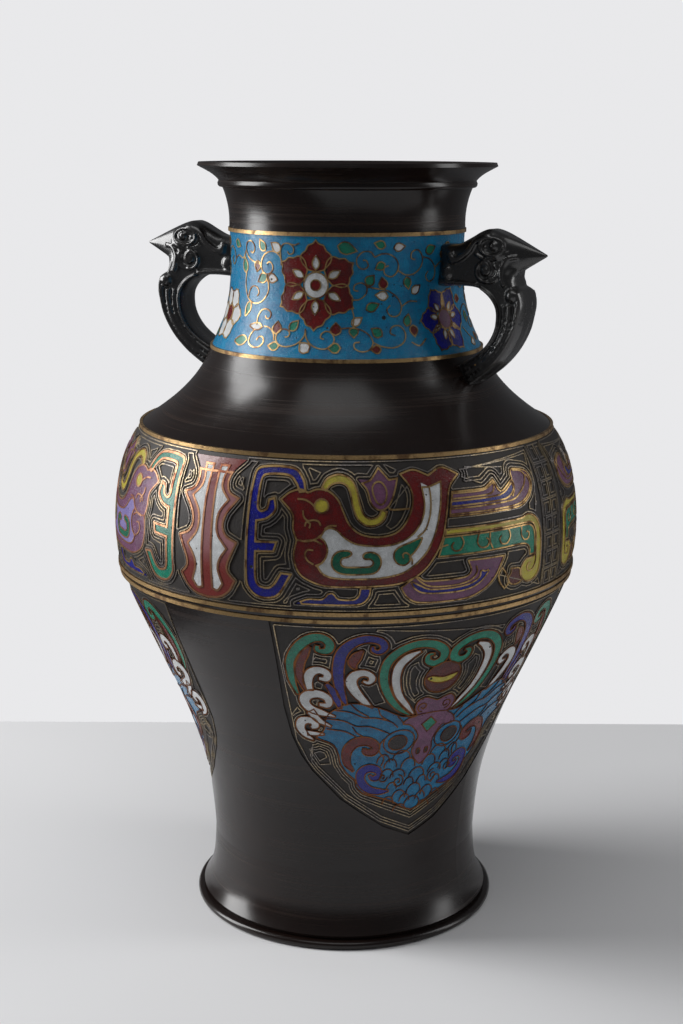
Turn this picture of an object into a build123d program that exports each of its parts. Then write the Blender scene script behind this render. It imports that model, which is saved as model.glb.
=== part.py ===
from build123d import *
import os
from math import cos, degrees, hypot, radians, sin

# Two-handled bronze vase with enamel set in cast cells, in millimetres.
# The origin is the centre of the foot's resting face and +Z is up.
# -Y looks at the middle of the belly's front motif; angles turn from -Y towards +X.

# Overall sizes
TOTAL_HEIGHT = 305.0
BELLY_RADIUS = 94.0
NECK_RADIUS = 46.3
MOUTH_RADIUS = 59.0
FOOT_RADIUS = 62.6
WAIST_RADIUS = 54.7

# Heights of the joints between the castings, above the foot
WAIST_HEIGHT = 30.0
BAND_BOTTOM = 146.5
BAND_TOP = 202.7
NECK_BASE = 233.4
NECK_TOP = 279.2

# Walls, enamel and border wires
WALL = 3.0
ENAMEL_DEPTH = 1.0
BORDER_WIDTH = 1.4
BORDER_DEPTH = 1.2
BORDER_PROUD = 0.35
LAP_HEIGHT = 2.5
LAP_THICKNESS = 1.0

# Foot and base plate
FOOT_LIP = 3.4
FOOT_BORE_GAP = 9.0
BASE_PLATE_THICKNESS = 2.0
BASE_PLATE_HEIGHT = 12.0
BASE_PLATE_REBATE = 1.2

# Rim
RIM_EDGE = 1.4
RIM_FLARE_HEIGHT = 9.0

# Handles
HANDLE_THICKNESS = 16.0
HANDLE_TURN_RIGHT = 90.0
HANDLE_TURN_LEFT = -78.0
HANDLE_REACH = 88.0
HANDLE_ROOT_DEPTH = 5.0
BEAK_LENGTH = 17.0
BEAK_HALF_WIDTH = 1.0
PEG_RADIUS = 2.5
PEG_DEPTH_IN_HANDLE = 7.0
PEG_HEAD_RADIUS = 4.5
PEG_HEAD_THICKNESS = 1.5
PEG_HEAD_GAP = 1.2
PEG_INTO_VASE = 8.0
UPPER_PEG_BELOW_NECK_TOP = 12.5
LOWER_PEG_ABOVE_SHOULDER_MIDDLE = 7.5

# Ornament
LAPPET_COUNT = 3
LAPPET_FIRST_TURN = 60.0
LAPPET_HALF_ANGLE = 45.0
LAPPET_TIP_HEIGHT = 44.0
LAPPET_FRAME = 8.0
NECK_FLOWER_RADIUS = 14.0
NECK_FLOWER_CENTRE_RADIUS = 4.5
NECK_FLOWER_TURNS = (16.0, 79.0, 142.0, 205.0, 268.0, 325.0)
NECK_FLOWER_RISE = 0.58

BIG = 4.0 * TOTAL_HEIGHT


def between(low, high, share):
    return low + (high - low) * share


# The outside profile, as spline points (radius, height) for each casting.
BAND_BOTTOM_RADIUS = BELLY_RADIUS - 1.35
BAND_TOP_RADIUS = BELLY_RADIUS - 11.0
NECK_BASE_RADIUS = NECK_RADIUS + 8.0
NECK_TOP_RADIUS = NECK_RADIUS + 0.4


def foot_points():
    top = WAIST_HEIGHT
    return [(FOOT_RADIUS - 2.6, FOOT_LIP + 1.6),
            (between(WAIST_RADIUS, FOOT_RADIUS, 0.36), between(FOOT_LIP, top, 0.22)),
            (between(WAIST_RADIUS, FOOT_RADIUS, 0.08), between(FOOT_LIP, top, 0.58)),
            (WAIST_RADIUS, top)]


def lower_body_points():
    shares = ((0.0, 0.0), (0.13, 0.035), (0.26, 0.10), (0.386, 0.213), (0.515, 0.362),
              (0.644, 0.54), (0.773, 0.717), (0.9, 0.886), (1.0, 1.0))
    return [(between(WAIST_RADIUS, BAND_BOTTOM_RADIUS, across),
             between(WAIST_HEIGHT, BAND_BOTTOM, up)) for up, across in shares]


def belly_points():
    return [(BAND_BOTTOM_RADIUS, BAND_BOTTOM),
            (BELLY_RADIUS, between(BAND_BOTTOM, BAND_TOP, 0.27)),
            (BELLY_RADIUS - 1.6, between(BAND_BOTTOM, BAND_TOP, 0.60)),
            (BELLY_RADIUS - 5.4, between(BAND_BOTTOM, BAND_TOP, 0.83)),
            (BAND_TOP_RADIUS, BAND_TOP)]


def shoulder_points():
    return [(BAND_TOP_RADIUS, BAND_TOP),
            (between(NECK_BASE_RADIUS, BAND_TOP_RADIUS, 0.55), between(BAND_TOP, NECK_BASE, 0.30)),
            (between(NECK_BASE_RADIUS, BAND_TOP_RADIUS, 0.17), between(BAND_TOP, NECK_BASE, 0.68)),
            (NECK_BASE_RADIUS, NECK_BASE)]


def neck_points():
    return [(NECK_BASE_RADIUS, NECK_BASE),
            (between(NECK_RADIUS, NECK_BASE_RADIUS, 0.36), between(NECK_BASE, NECK_TOP, 0.25)),
            (between(NECK_RADIUS, NECK_BASE_RADIUS, 0.02), between(NECK_BASE, NECK_TOP, 0.56)),
            (NECK_TOP_RADIUS, NECK_TOP)]


def collar_points():
    flare = TOTAL_HEIGHT - RIM_FLARE_HEIGHT
    return [(NECK_TOP_RADIUS, NECK_TOP),
            (NECK_RADIUS + 0.4, between(NECK_TOP, flare, 0.35)),
            (NECK_RADIUS + 1.4, between(NECK_TOP, flare, 0.70)),
            (NECK_RADIUS + 3.2, flare)]


def flare_points():
    flare = TOTAL_HEIGHT - RIM_FLARE_HEIGHT
    lip = TOTAL_HEIGHT - RIM_EDGE
    return [(NECK_RADIUS + 3.2, flare),
            (between(NECK_RADIUS, MOUTH_RADIUS, 0.38), between(flare, lip, 0.34)),
            (between(NECK_RADIUS, MOUTH_RADIUS, 0.66), between(flare, lip, 0.70)),
            (MOUTH_RADIUS, lip)]


def inset(points, depth):
    return [(radius - depth, height) for radius, height in points]


def curve(points):
    return Spline([Vector(radius, 0, height) for radius, height in points])


def straight(*points):
    return Polyline([Vector(radius, 0, height) for radius, height in points])


def turned(edges):
    """The solid of revolution whose half-section is closed by these edges."""
    return revolve(make_face(Wire(Wire.combine(edges)[0])), Axis.Z, 360)


def shell(points, outer_depth, inner_depth):
    """A turned ring between two depths below the outside profile."""
    outside = inset(points, outer_depth)
    inside = inset(points, inner_depth)
    edges = [*curve(outside).edges(), *straight(outside[-1], inside[-1]).edges(),
             *curve(inside).edges(), *straight(inside[0], outside[0]).edges()]
    return turned(edges)


def slice_between(bottom, top):
    return Pos(0, 0, (bottom + top) / 2) * Cylinder(BIG, top - bottom)


SLIVER = 0.5
SMALL_PIECE = 2.0
CASTING_PIECE = 50.0


def clean_solids(shape, least=SLIVER):
    """The separate solids of a boolean result, without its slivers."""
    return [solid for solid in shape.solids() if solid.volume > least]


def spun(shape, turn):
    return Rot(0, 0, turn) * shape


# Castings --------------------------------------------------------------------

def full_lower_body():
    lip = FOOT_LIP
    foot = foot_points()
    bore = inset(foot, WALL)
    bore_radius = FOOT_RADIUS - FOOT_BORE_GAP
    lip_edge = ThreePointArc(Vector(FOOT_RADIUS - lip / 2, 0, 0), Vector(FOOT_RADIUS, 0, lip / 2),
                             Vector(FOOT_RADIUS - lip / 2, 0, lip))
    groove = straight((FOOT_RADIUS - lip / 2, lip), (FOOT_RADIUS - 3.4, lip), foot[0])
    edges = [*lip_edge.edges(), *groove.edges(), *curve(foot).edges(),
             *straight(foot[-1], bore[-1]).edges(), *curve(bore).edges(),
             *straight(bore[0], (bore_radius, lip), (bore_radius, 0),
                       (FOOT_RADIUS - lip / 2, 0)).edges()]
    return turned(edges) + shell(lower_body_points(), 0, WALL)


def full_rim():
    lip = TOTAL_HEIGHT - RIM_EDGE
    collar = collar_points()
    flare = flare_points()
    inner_collar = inset(collar, WALL)
    inner_flare = [(flare[0][0] - WALL, flare[0][1])] + [
        (radius - between(WALL, RIM_EDGE, share), height + share * RIM_EDGE)
        for (radius, height), share in zip(flare[1:3], (0.5, 0.8))]
    inner_flare.append((MOUTH_RADIUS - RIM_EDGE, TOTAL_HEIGHT))
    edges = [*curve(collar).edges(), *curve(flare).edges(),
             *straight((MOUTH_RADIUS, lip), (MOUTH_RADIUS - 0.5, TOTAL_HEIGHT),
                       (MOUTH_RADIUS - RIM_EDGE, TOTAL_HEIGHT)).edges(),
             *curve(inner_flare).edges(), *curve(inner_collar).edges(),
             *straight(inner_collar[0], collar[0]).edges()]
    return turned(edges)


def lap(lower, upper, upper_points):
    """Give the lower casting a thin upstand that follows the inside of the upper one."""
    height = upper_points[0][1]
    upstand = shell(upper_points, WALL - LAP_THICKNESS, WALL)
    upstand = upstand & slice_between(height, height + LAP_HEIGHT)
    return lower + upstand, upper - upstand


def border_ring(height, radius):
    """A square wire let into the castings, standing a little proud of them."""
    outer = radius + BORDER_PROUD
    ring = Cylinder(outer, BORDER_WIDTH) - Cylinder(outer - BORDER_DEPTH, BORDER_WIDTH)
    return Pos(0, 0, height) * ring


# Ornament outlines: distance round the surface from the motif's middle, and height above
# the band's bottom border, for a belly radius of BELLY_RADIUS and its band height.
BAND_HEIGHT = BAND_TOP - BAND_BOTTOM
DRAWN_BAND_HEIGHT = 56.2
DRAWN_RADIUS = 90.0

AXE_HALF = [(0, 3.3), (4.5, 4.2), (8, 6.6), (11, 11), (8.2, 15), (8.6, 18), (12, 25), (8, 27.5),
            (6.3, 31), (8, 35.5), (11.8, 40.5), (7.5, 43.5), (6.3, 47), (8, 50.5), (12, 53.7)]
DRAGON = [(16.2, 12), (17.5, 8.5), (20, 6), (24.5, 5.6), (28.5, 7.5), (32.8, 15), (29, 15.4),
          (26.6, 10.8), (23.5, 9.2), (19.6, 11.5), (19.4, 22.8), (26.6, 23.4), (27.5, 26.6),
          (19.4, 26.8), (19.3, 33.8), (23.5, 34.9), (26.6, 38), (25.8, 42.3), (24, 41.6),
          (23.7, 38.2), (21.2, 37), (19.6, 38.6), (19.6, 47.5), (21, 50.2), (30, 50.4),
          (33.6, 47.8), (35.3, 44.6), (37, 45), (36, 48.8), (32, 52.4), (21, 52.6), (17, 50)]
BIRD = [(28.3, 41.7), (31.3, 44.4), (35.2, 45.5), (38, 44.6), (41.2, 45.7), (45.3, 45.2),
        (48.8, 42.3), (50.8, 38), (53, 33.4), (57, 30.2), (63, 29.2), (69, 30.5), (73, 34.4),
        (75.6, 40.5), (75.3, 46), (71.6, 50.7), (77, 52), (82.5, 49.6), (88.5, 52), (95, 49.3),
        (90.3, 45.3), (88, 36), (85.8, 27), (81.8, 19.8), (77, 15), (70, 12), (60, 11.2),
        (46, 11.2), (38.5, 13.6), (35, 17), (33.6, 22.8), (34.8, 28), (33.2, 32), (32.8, 37)]
CREST = [(43.2, 46.7), (45.5, 49), (50, 49.7), (54, 48), (56.2, 43.5), (57.4, 38), (60, 35.3),
         (62.5, 35.9), (64, 38.3), (66, 38), (65, 34.2), (61.5, 32.7), (57.5, 33.8), (54.6, 37.5),
         (53.2, 43), (51.5, 45.8), (48.8, 46.9), (45.8, 45.8)]
TULIP = [(55.3, 49), (58.5, 45), (60.2, 40), (64.3, 37.6), (68, 40.5), (69.4, 45), (70.8, 49.2),
         (66.5, 49.5), (63.5, 53), (60.6, 49.2)]
UPPER_FEATHER = [(89.6, 35.3), (119, 35.3), (126, 37.4), (129.8, 41), (130, 44.5), (127.4, 47),
                 (119, 47), (110.4, 45.2), (105, 43.3), (91.2, 43.2)]
TAIL_BAR = [(86.6, 31.3), (126, 31.3), (131.3, 29), (132.6, 24), (132.6, 11), (130.8, 7),
            (126.5, 5.2), (122.5, 6.6), (115.5, 5.8), (111.5, 8.6), (116, 9.4), (115.6, 13.2),
            (121, 14), (124, 15.8), (124.8, 18.4), (121.5, 20.1), (83, 20.1), (86, 26.2)]
LOWER_FEATHER = [(70.8, 10), (76.2, 13.4), (79.5, 12.2), (94.6, 12.2), (97.5, 14.4), (96.2, 18.6),
                 (111.8, 18.2), (107.5, 10.2), (101.5, 5.8), (94, 3.9), (78, 4.2), (73.2, 6.4)]
RIPPLE = [(33.8, 4.4), (37, 7), (43.5, 7.3), (46.7, 9.6), (49.2, 7.3), (54.5, 7.2), (56.2, 9.8),
          (60.6, 9.8), (59.6, 6.2), (55.5, 4.2), (44, 4.2)]


def radial_prism(points, drawn_radius):
    """A prism pushed out from the axis, with its middle at the outline's own angle."""
    angles = [degrees(across / drawn_radius) for across, height in points]
    middle = (min(angles) + max(angles)) / 2
    corners = [(drawn_radius * sin(radians(angle - middle)), height)
               for angle, (across, height) in zip(angles, points)]
    face = make_face(Polyline([Vector(x, 0, height) for x, height in corners], close=True))
    return spun(extrude(face, amount=BIG / 4, dir=(0, -1, 0)), middle)


def band_prism(points, flipped=False):
    """A radial prism of a belly motif, stretched to the band's own height."""
    tall = BAND_HEIGHT / DRAWN_BAND_HEIGHT
    side = -1 if flipped else 1
    placed = [(side * across, BAND_BOTTOM + height * tall) for across, height in points]
    return radial_prism(placed, DRAWN_RADIUS)


def four_ways(points, back_and_front_only=False):
    """Both mirrored copies of a motif, on the front and on the back."""
    right = band_prism(points)
    if back_and_front_only:
        return [right, spun(right, 180)]
    left = band_prism(points, flipped=True)
    return [right, left, spun(right, 180), spun(left, 180)]


def fill_cells(ground, prisms):
    """Take the prisms' share of a ring as separate solids, and return both."""
    pieces = []
    for prism in prisms:
        pieces += clean_solids(ground & prism)
        ground = ground - prism
    return ground, pieces


# Lappets: three pointed shields hanging from the lower border.

def lappet_outline(frame):
    """Half-angle and height of the shield's edge, moved in by the frame's width."""
    top = BAND_BOTTOM - BORDER_WIDTH * 2.4 - (frame * 0.5 if frame else 0)
    drop = top - LAPPET_TIP_HEIGHT - frame * 1.6
    shares = ((1.0, 0.0), (1.0, 0.38), (0.98, 0.52), (0.93, 0.61), (0.86, 0.68), (0.76, 0.74),
              (0.64, 0.81), (0.48, 0.87), (0.26, 0.945), (0.0, 1.0))
    narrow = frame * 0.85
    right = [(LAPPET_HALF_ANGLE * across - narrow * min(1.0, across * 2), top - drop * down)
             for across, down in shares]
    left = [(-angle, height) for angle, height in reversed(right[:-1])]
    return right + left


def casting_radius(height):
    """Outside radius of the lower body at a height, straight between its spline points."""
    points = lower_body_points()
    for (radius, low), (next_radius, high) in zip(points, points[1:]):
        if height <= high:
            return between(radius, next_radius, (height - low) / (high - low))
    return points[-1][0]


def lappet_prism(frame):
    """The shield's cutter: its outline keeps to its angles as the lower body narrows."""
    corners = [Vector(casting_radius(height) * sin(radians(angle)), 0, height)
               for angle, height in lappet_outline(frame)]
    return extrude(make_face(Polyline(corners, close=True)), amount=BIG / 4, dir=(0, -1, 0))


# Handles ---------------------------------------------------------------------

# The outline is drawn for this reach and these heights, and stretches with the real ones.
DRAWN_REACH = 88.0
DRAWN_NECK_TOP = 279.2
DRAWN_SHOULDER_MIDDLE = 218.05


def handle_outline():
    """The side view of a handle: radius from the vase's axis, and height."""
    reach = HANDLE_REACH - DRAWN_REACH
    top = NECK_TOP - DRAWN_NECK_TOP
    low = between(BAND_TOP, NECK_BASE, 0.5) - DRAWN_SHOULDER_MIDDLE
    root = NECK_RADIUS - ENAMEL_DEPTH - HANDLE_ROOT_DEPTH
    crown = [(root, 275.3 + top), (52 + reach / 4, 275.3 + top), (57 + reach / 2, 277.4 + top),
             (63 + reach / 2, 280.6 + top), (67 + reach / 2, 281.0 + top),
             (75 + reach, 278 + top), (88 + reach, 272.2 + top)]
    throat = [(88 + reach, 271.6 + top), (77.4 + reach, 266 + top), (76.4 + reach, 263.6 + top),
              (77 + reach, 260.6 + top)]
    back = [(77 + reach, 260.6 + top), (80.2 + reach, 258.6 + top), (81.3 + reach, 254 + top),
            (79.6 + reach, 244.5 + top), (74.5 + reach, 235 + (top + low) / 2),
            (66 + reach / 2, 226.4 + low), (60, 222 + low)]
    inner = [(56, 231.2 + low), (60.5 + reach / 2, 233.4 + low),
             (66 + reach, 238 + (top + low) / 2), (69.9 + reach, 244.5 + top),
             (70.4 + reach, 250.5 + top), (67.4 + reach, 256 + top), (62 + reach / 2, 259.4 + top),
             (55, 259.6 + top), (root, 258.8 + top)]
    return crown, throat, back, inner


def handle_blank():
    crown, throat, back, inner = handle_outline()
    buried = NECK_BASE_RADIUS - 9
    heel = (buried, back[-1][1] - 4)
    hollow = (buried, inner[0][1])
    edges = [*curve(crown).edges(), *straight(crown[-1], throat[0]).edges(),
             *straight(*throat).edges(), *curve(back).edges(),
             *straight(back[-1], heel, hollow, inner[0]).edges(), *curve(inner).edges(),
             *straight(inner[-1], crown[0]).edges()]
    side = make_face(Wire(Wire.combine(edges)[0]))
    return extrude(side, amount=HANDLE_THICKNESS / 2, dir=(0, 1, 0), both=True)


def beak_wedge():
    """What is cut from the sides of the head, so that the beak comes to a point."""
    start = HANDLE_REACH - BEAK_LENGTH
    half = HANDLE_THICKNESS / 2
    side = make_face(Polyline([Vector(start, half, 0), Vector(HANDLE_REACH + 1, BEAK_HALF_WIDTH, 0),
                               Vector(HANDLE_REACH + 1, half + 1, 0), Vector(start, half + 1, 0)],
                              close=True))
    bottom = NECK_TOP - 16.0
    wedge = Pos(0, 0, bottom) * extrude(side, amount=BIG / 4, dir=(0, 0, 1))
    return wedge + mirror(wedge, Plane.XZ)


def peg(axis_height, from_radius, to_radius):
    """A turned peg along +X."""
    middle = Pos((from_radius + to_radius) / 2, 0, axis_height)
    return middle * Rot(0, 90, 0) * Cylinder(PEG_RADIUS, to_radius - from_radius)


def head(axis_height, at_radius):
    """The rivet head, thick enough to be dressed to the curve of the wall."""
    deep = PEG_HEAD_THICKNESS + 6
    return Pos(at_radius - PEG_HEAD_THICKNESS + deep / 2, 0, axis_height) * Rot(0, 90, 0) * (
        Cylinder(PEG_HEAD_RADIUS, deep))


def make_castings():
    return {"lower_body": full_lower_body(), "belly": shell(belly_points(), 0, WALL),
            "shoulder": shell(shoulder_points(), 0, WALL), "neck": shell(neck_points(), 0, WALL),
            "mouth_rim": full_rim()}


def sink_beds(castings):
    """Sink the enamel beds into the castings between the borders."""
    beds = {"belly": shell(belly_points(), 0, ENAMEL_DEPTH)
            & slice_between(BAND_BOTTOM + BORDER_WIDTH, BAND_TOP - BORDER_WIDTH / 2),
            "neck": shell(neck_points(), 0, ENAMEL_DEPTH)
            & slice_between(NECK_BASE + BORDER_WIDTH / 2, NECK_TOP - BORDER_WIDTH / 2)}
    for name, bed in beds.items():
        castings[name] = castings[name] - bed
    return beds


def join_castings(castings):
    """Stepped joints between neighbouring castings."""
    for lower, upper, points in (("lower_body", "belly", belly_points()),
                                 ("shoulder", "neck", neck_points()),
                                 ("neck", "mouth_rim", collar_points())):
        castings[lower], castings[upper] = lap(castings[lower], castings[upper], points)


def add_borders(parts, castings, beds):
    """Border wires over the joints."""
    borders = {
        "neck_upper_border": (NECK_TOP, NECK_TOP_RADIUS),
        "neck_lower_border": (NECK_BASE, NECK_BASE_RADIUS),
        "belly_upper_border": (BAND_TOP, BAND_TOP_RADIUS),
        "belly_lower_border": (BAND_BOTTOM + BORDER_WIDTH / 2, BAND_BOTTOM_RADIUS + 0.15),
        "lappet_upper_border": (BAND_BOTTOM - BORDER_WIDTH * 1.6, BAND_BOTTOM_RADIUS - 0.5),
    }
    for name, (height, radius) in borders.items():
        ring = border_ring(height, radius)
        parts[name] = [ring]
        for pieces in (castings, beds):
            for key in pieces:
                pieces[key] = pieces[key] - ring


def add_lappets(parts, castings):
    """Lappet shields: an enamel panel inside a fretted frame, sunk in the lower body."""
    skin = shell(lower_body_points(), 0, ENAMEL_DEPTH)
    frame_cut = lappet_prism(0)
    panel_cut = lappet_prism(LAPPET_FRAME)
    for number in range(LAPPET_COUNT):
        turn = LAPPET_FIRST_TURN + number * 360 / LAPPET_COUNT
        whole = skin & spun(frame_cut, turn)
        parts[f"lappet_panel_{number + 1}"] = clean_solids(whole & spun(panel_cut, turn))
        parts[f"lappet_frame_{number + 1}"] = clean_solids(whole - spun(panel_cut, turn))
        castings["lower_body"] = castings["lower_body"] - whole


def add_base_plate(parts, castings):
    """Base plate, let into a rebate inside the foot."""
    plate_radius = WAIST_RADIUS - WALL + BASE_PLATE_REBATE
    base_plate = Pos(0, 0, BASE_PLATE_HEIGHT + BASE_PLATE_THICKNESS / 2) * Cylinder(
        plate_radius, BASE_PLATE_THICKNESS)
    plate_bore = Pos(0, 0, BASE_PLATE_HEIGHT / 2) * Cylinder(plate_radius, BASE_PLATE_HEIGHT)
    castings["lower_body"] = castings["lower_body"] - base_plate
    castings["lower_body"] = castings["lower_body"] - plate_bore
    parts["base_plate"] = [base_plate]


def seat_envelope():
    """The solid space that the neck and shoulder fill, with the neck's bed open."""
    shoulder = shoulder_points()
    bed = inset(neck_points(), ENAMEL_DEPTH)
    return turned([*straight((0, BAND_TOP), shoulder[0]).edges(), *curve(shoulder).edges(),
                   *straight(shoulder[-1], bed[0]).edges(), *curve(bed).edges(),
                   *straight(bed[-1], (0, NECK_TOP), (0, BAND_TOP)).edges()])


def add_handles(parts, castings, beds):
    """Handles, seated on the castings and held by riveted pegs."""
    blank = handle_blank() - beak_wedge()
    for name in ("neck_lower_border", "neck_upper_border"):
        blank = blank - parts[name][0]
    blank = max((blank - seat_envelope()).solids(), key=lambda solid: solid.volume)
    upper_height = NECK_TOP - UPPER_PEG_BELOW_NECK_TOP
    lower_height = between(BAND_TOP, NECK_BASE, 0.5) + LOWER_PEG_ABOVE_SHOULDER_MIDDLE
    seats = {"handle_upper_pegs": (upper_height, NECK_RADIUS),
             "handle_lower_pegs": (lower_height, NECK_BASE_RADIUS + 1.0)}
    wall_body = shell(neck_points(), 0, WALL) + shell(shoulder_points(), 0, WALL)
    above_band = slice_between(BAND_TOP, BAND_TOP + BIG)
    for pegs in seats:
        parts[pegs] = []
    for name, turn in (("handle_right", HANDLE_TURN_RIGHT), ("handle_left", HANDLE_TURN_LEFT)):
        handle = blank
        for pegs, (height, radius) in seats.items():
            shank = peg(height, radius - PEG_INTO_VASE, radius + PEG_DEPTH_IN_HANDLE)
            knob = head(height, radius - WALL - PEG_HEAD_GAP)
            handle = handle - shank
            shank = spun(shank, turn - 90)
            knob = spun(knob, turn - 90)
            cap = (knob & above_band) - wall_body
            cap = min(cap.solids(), key=lambda solid: hypot(solid.center().X, solid.center().Y))
            whole = (shank & (wall_body + spun(handle_blank(), turn - 90))) + cap
            parts[pegs].append(max(whole.solids(), key=lambda solid: solid.volume))
        handle = spun(handle, turn - 90)
        beds["neck"] = beds["neck"] - handle
        parts[name] = [handle]
    for one in parts["handle_upper_pegs"] + parts["handle_lower_pegs"]:
        for name in ("handle_right", "handle_left"):
            parts[name] = [parts[name][0] - one]
        beds["neck"] = beds["neck"] - one
        castings["neck"] = castings["neck"] - one
        castings["shoulder"] = castings["shoulder"] - one


def add_belly_enamels(parts, bed):
    """Belly enamels, each set in its own cell of the fretted band."""
    whole_axe = AXE_HALF + [(-across, height) for across, height in reversed(AXE_HALF[1:])]
    bed, parts["axe_enamels"] = fill_cells(bed, four_ways(whole_axe, True))
    dragons = four_ways(DRAGON)
    bed, parts["blue_dragon_enamels"] = fill_cells(bed, dragons[0::2])
    bed, parts["green_dragon_enamels"] = fill_cells(bed, dragons[1::2])
    motifs = {"bird_enamels": BIRD, "crest_enamels": CREST, "tulip_enamels": TULIP,
              "upper_feather_enamels": UPPER_FEATHER, "tail_bar_enamels": TAIL_BAR,
              "lower_feather_enamels": LOWER_FEATHER, "ripple_enamels": RIPPLE}
    for name, outline in motifs.items():
        bed, parts[name] = fill_cells(bed, four_ways(outline))
    parts["belly_fret_band"] = clean_solids(bed)


def neck_disc(height, radius):
    """A round cutter pushed out from the axis along -Y."""
    return Pos(0, 0, height) * Rot(90, 0, 0) * Cylinder(
        radius, BIG / 4, align=(Align.CENTER, Align.CENTER, Align.MIN))


def add_neck_enamels(parts, bed):
    """Neck flowers, each a six-petalled disc with its own centre, in one ground colour."""
    petals = []
    centres = []
    height = between(NECK_BASE, NECK_TOP, NECK_FLOWER_RISE)
    lobe_radius = NECK_FLOWER_RADIUS * 0.36
    arm = NECK_FLOWER_RADIUS - lobe_radius
    for turn in NECK_FLOWER_TURNS:
        disc = spun(neck_disc(height, NECK_FLOWER_CENTRE_RADIUS), turn)
        flower = spun(neck_disc(height, arm), turn)
        for petal in range(6):
            angle = radians(petal * 60)
            lobe = Pos(arm * sin(angle), 0, 0) * neck_disc(height + arm * cos(angle), lobe_radius)
            flower = flower + spun(lobe, turn)
        centres += clean_solids(bed & disc, SMALL_PIECE)
        petals += clean_solids((bed & flower) - disc, SMALL_PIECE)
        bed = bed - flower
    parts["neck_flower_petals"] = petals
    parts["neck_flower_centres"] = centres
    parts["neck_enamel_ground"] = clean_solids(bed)


def build():
    parts = {}
    castings = make_castings()
    beds = sink_beds(castings)
    join_castings(castings)
    add_borders(parts, castings, beds)
    add_lappets(parts, castings)
    add_base_plate(parts, castings)
    add_handles(parts, castings, beds)
    add_belly_enamels(parts, beds["belly"])
    add_neck_enamels(parts, beds["neck"])
    for name, casting in castings.items():
        parts[name] = clean_solids(casting, CASTING_PIECE)
    return parts


os.makedirs("parts", exist_ok=True)
for node, solids in build().items():
    flat = [solid for piece in solids for solid in piece.solids()]
    shape = flat[0] if len(flat) == 1 else Compound(children=flat)
    export_step(shape, f"parts/{node}.step")
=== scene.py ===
from math import cos, pi, radians, sin, tau

import bmesh
import bpy
import numpy as np
from bpy.props import FloatProperty, FloatVectorProperty, PointerProperty
from mathutils import Matrix, Vector


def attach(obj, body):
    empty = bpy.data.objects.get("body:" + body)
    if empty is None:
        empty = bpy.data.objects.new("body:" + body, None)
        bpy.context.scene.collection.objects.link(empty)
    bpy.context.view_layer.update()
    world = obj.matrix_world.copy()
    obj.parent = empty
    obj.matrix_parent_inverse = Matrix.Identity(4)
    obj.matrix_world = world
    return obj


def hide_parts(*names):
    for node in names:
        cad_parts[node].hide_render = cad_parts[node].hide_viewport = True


bl_info = {
    "name": "Enamelled Bronze Vase",
    "version": (1, 0, 0),
    "blender": (4, 5, 0),
    "location": "View3D > Sidebar > Vase",
    "description": "Fretwork, enamel cells, wires and bird-head handles for a two-handled vase",
    "category": "Object",
}

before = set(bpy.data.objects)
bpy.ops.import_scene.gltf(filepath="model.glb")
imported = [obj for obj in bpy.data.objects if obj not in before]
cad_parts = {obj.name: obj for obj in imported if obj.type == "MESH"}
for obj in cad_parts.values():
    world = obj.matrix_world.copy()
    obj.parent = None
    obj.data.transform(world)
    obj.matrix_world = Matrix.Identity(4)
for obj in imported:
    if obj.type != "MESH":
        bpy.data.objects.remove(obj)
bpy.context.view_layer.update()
MM = 0.001

# Surface of revolution ---------------------------------------------------------
# Outside radius against height for each casting, in millimetres, as in the frame.

FOOT_CURVE = ((5, 60.0), (9.8, 57.5), (20.3, 55.3), (30, 54.7))
LOWER_CURVE = ((30, 54.7), (45.1, 56.0), (60.3, 58.5), (75, 62.8), (90, 68.4), (105, 75.2),
               (120.1, 81.9), (134.9, 88.3), (146.5, 92.65))
BELLY_CURVE = ((146.5, 92.65), (161.7, 94.0), (180.2, 92.4), (193.1, 88.6), (202.7, 83.0))
SHOULDER_CURVE = ((202.7, 83.0), (211.9, 70.1), (223.6, 59.2), (233.4, 54.3))
NECK_CURVE = ((233.4, 54.3), (244.9, 49.2), (259.0, 46.5), (279.2, 46.7))
CURVES = (FOOT_CURVE, LOWER_CURVE, BELLY_CURVE, SHOULDER_CURVE, NECK_CURVE)

LOWER_REFERENCE = 75.0
BELLY_REFERENCE = 90.0
NECK_REFERENCE = 47.0


def natural_spline(stations):
    """Second derivatives of a natural cubic spline through (height, radius) stations."""
    z = np.array([height for height, radius in stations], float)
    r = np.array([radius for height, radius in stations], float)
    n = len(z)
    gaps = np.diff(z)
    system = np.eye(n)
    right = np.zeros(n)
    for i in range(1, n - 1):
        system[i, i - 1] = gaps[i - 1]
        system[i, i] = 2 * (gaps[i - 1] + gaps[i])
        system[i, i + 1] = gaps[i]
        right[i] = 6 * ((r[i + 1] - r[i]) / gaps[i] - (r[i] - r[i - 1]) / gaps[i - 1])
    return z, r, np.linalg.solve(system, right)


SPLINES = [natural_spline(curve) for curve in CURVES]


def radius_at(heights):
    """Outside radius of the vase at heights in millimetres."""
    heights = np.asarray(heights, float)
    radii = np.zeros_like(heights)
    for number, (z, r, second) in enumerate(SPLINES):
        low = -np.inf if number == 0 else z[0]
        high = np.inf if number == len(SPLINES) - 1 else z[-1]
        here = (heights >= low) & (heights <= high)
        inside = np.clip(heights[here], z[0], z[-1])
        i = np.clip(np.searchsorted(z, inside) - 1, 0, len(z) - 2)
        gap = z[i + 1] - z[i]
        a = (z[i + 1] - inside) / gap
        b = 1 - a
        bend = ((a ** 3 - a) * second[i] + (b ** 3 - b) * second[i + 1]) * gap ** 2 / 6
        radii[here] = a * r[i] + b * r[i + 1] + bend
    return radii


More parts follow.
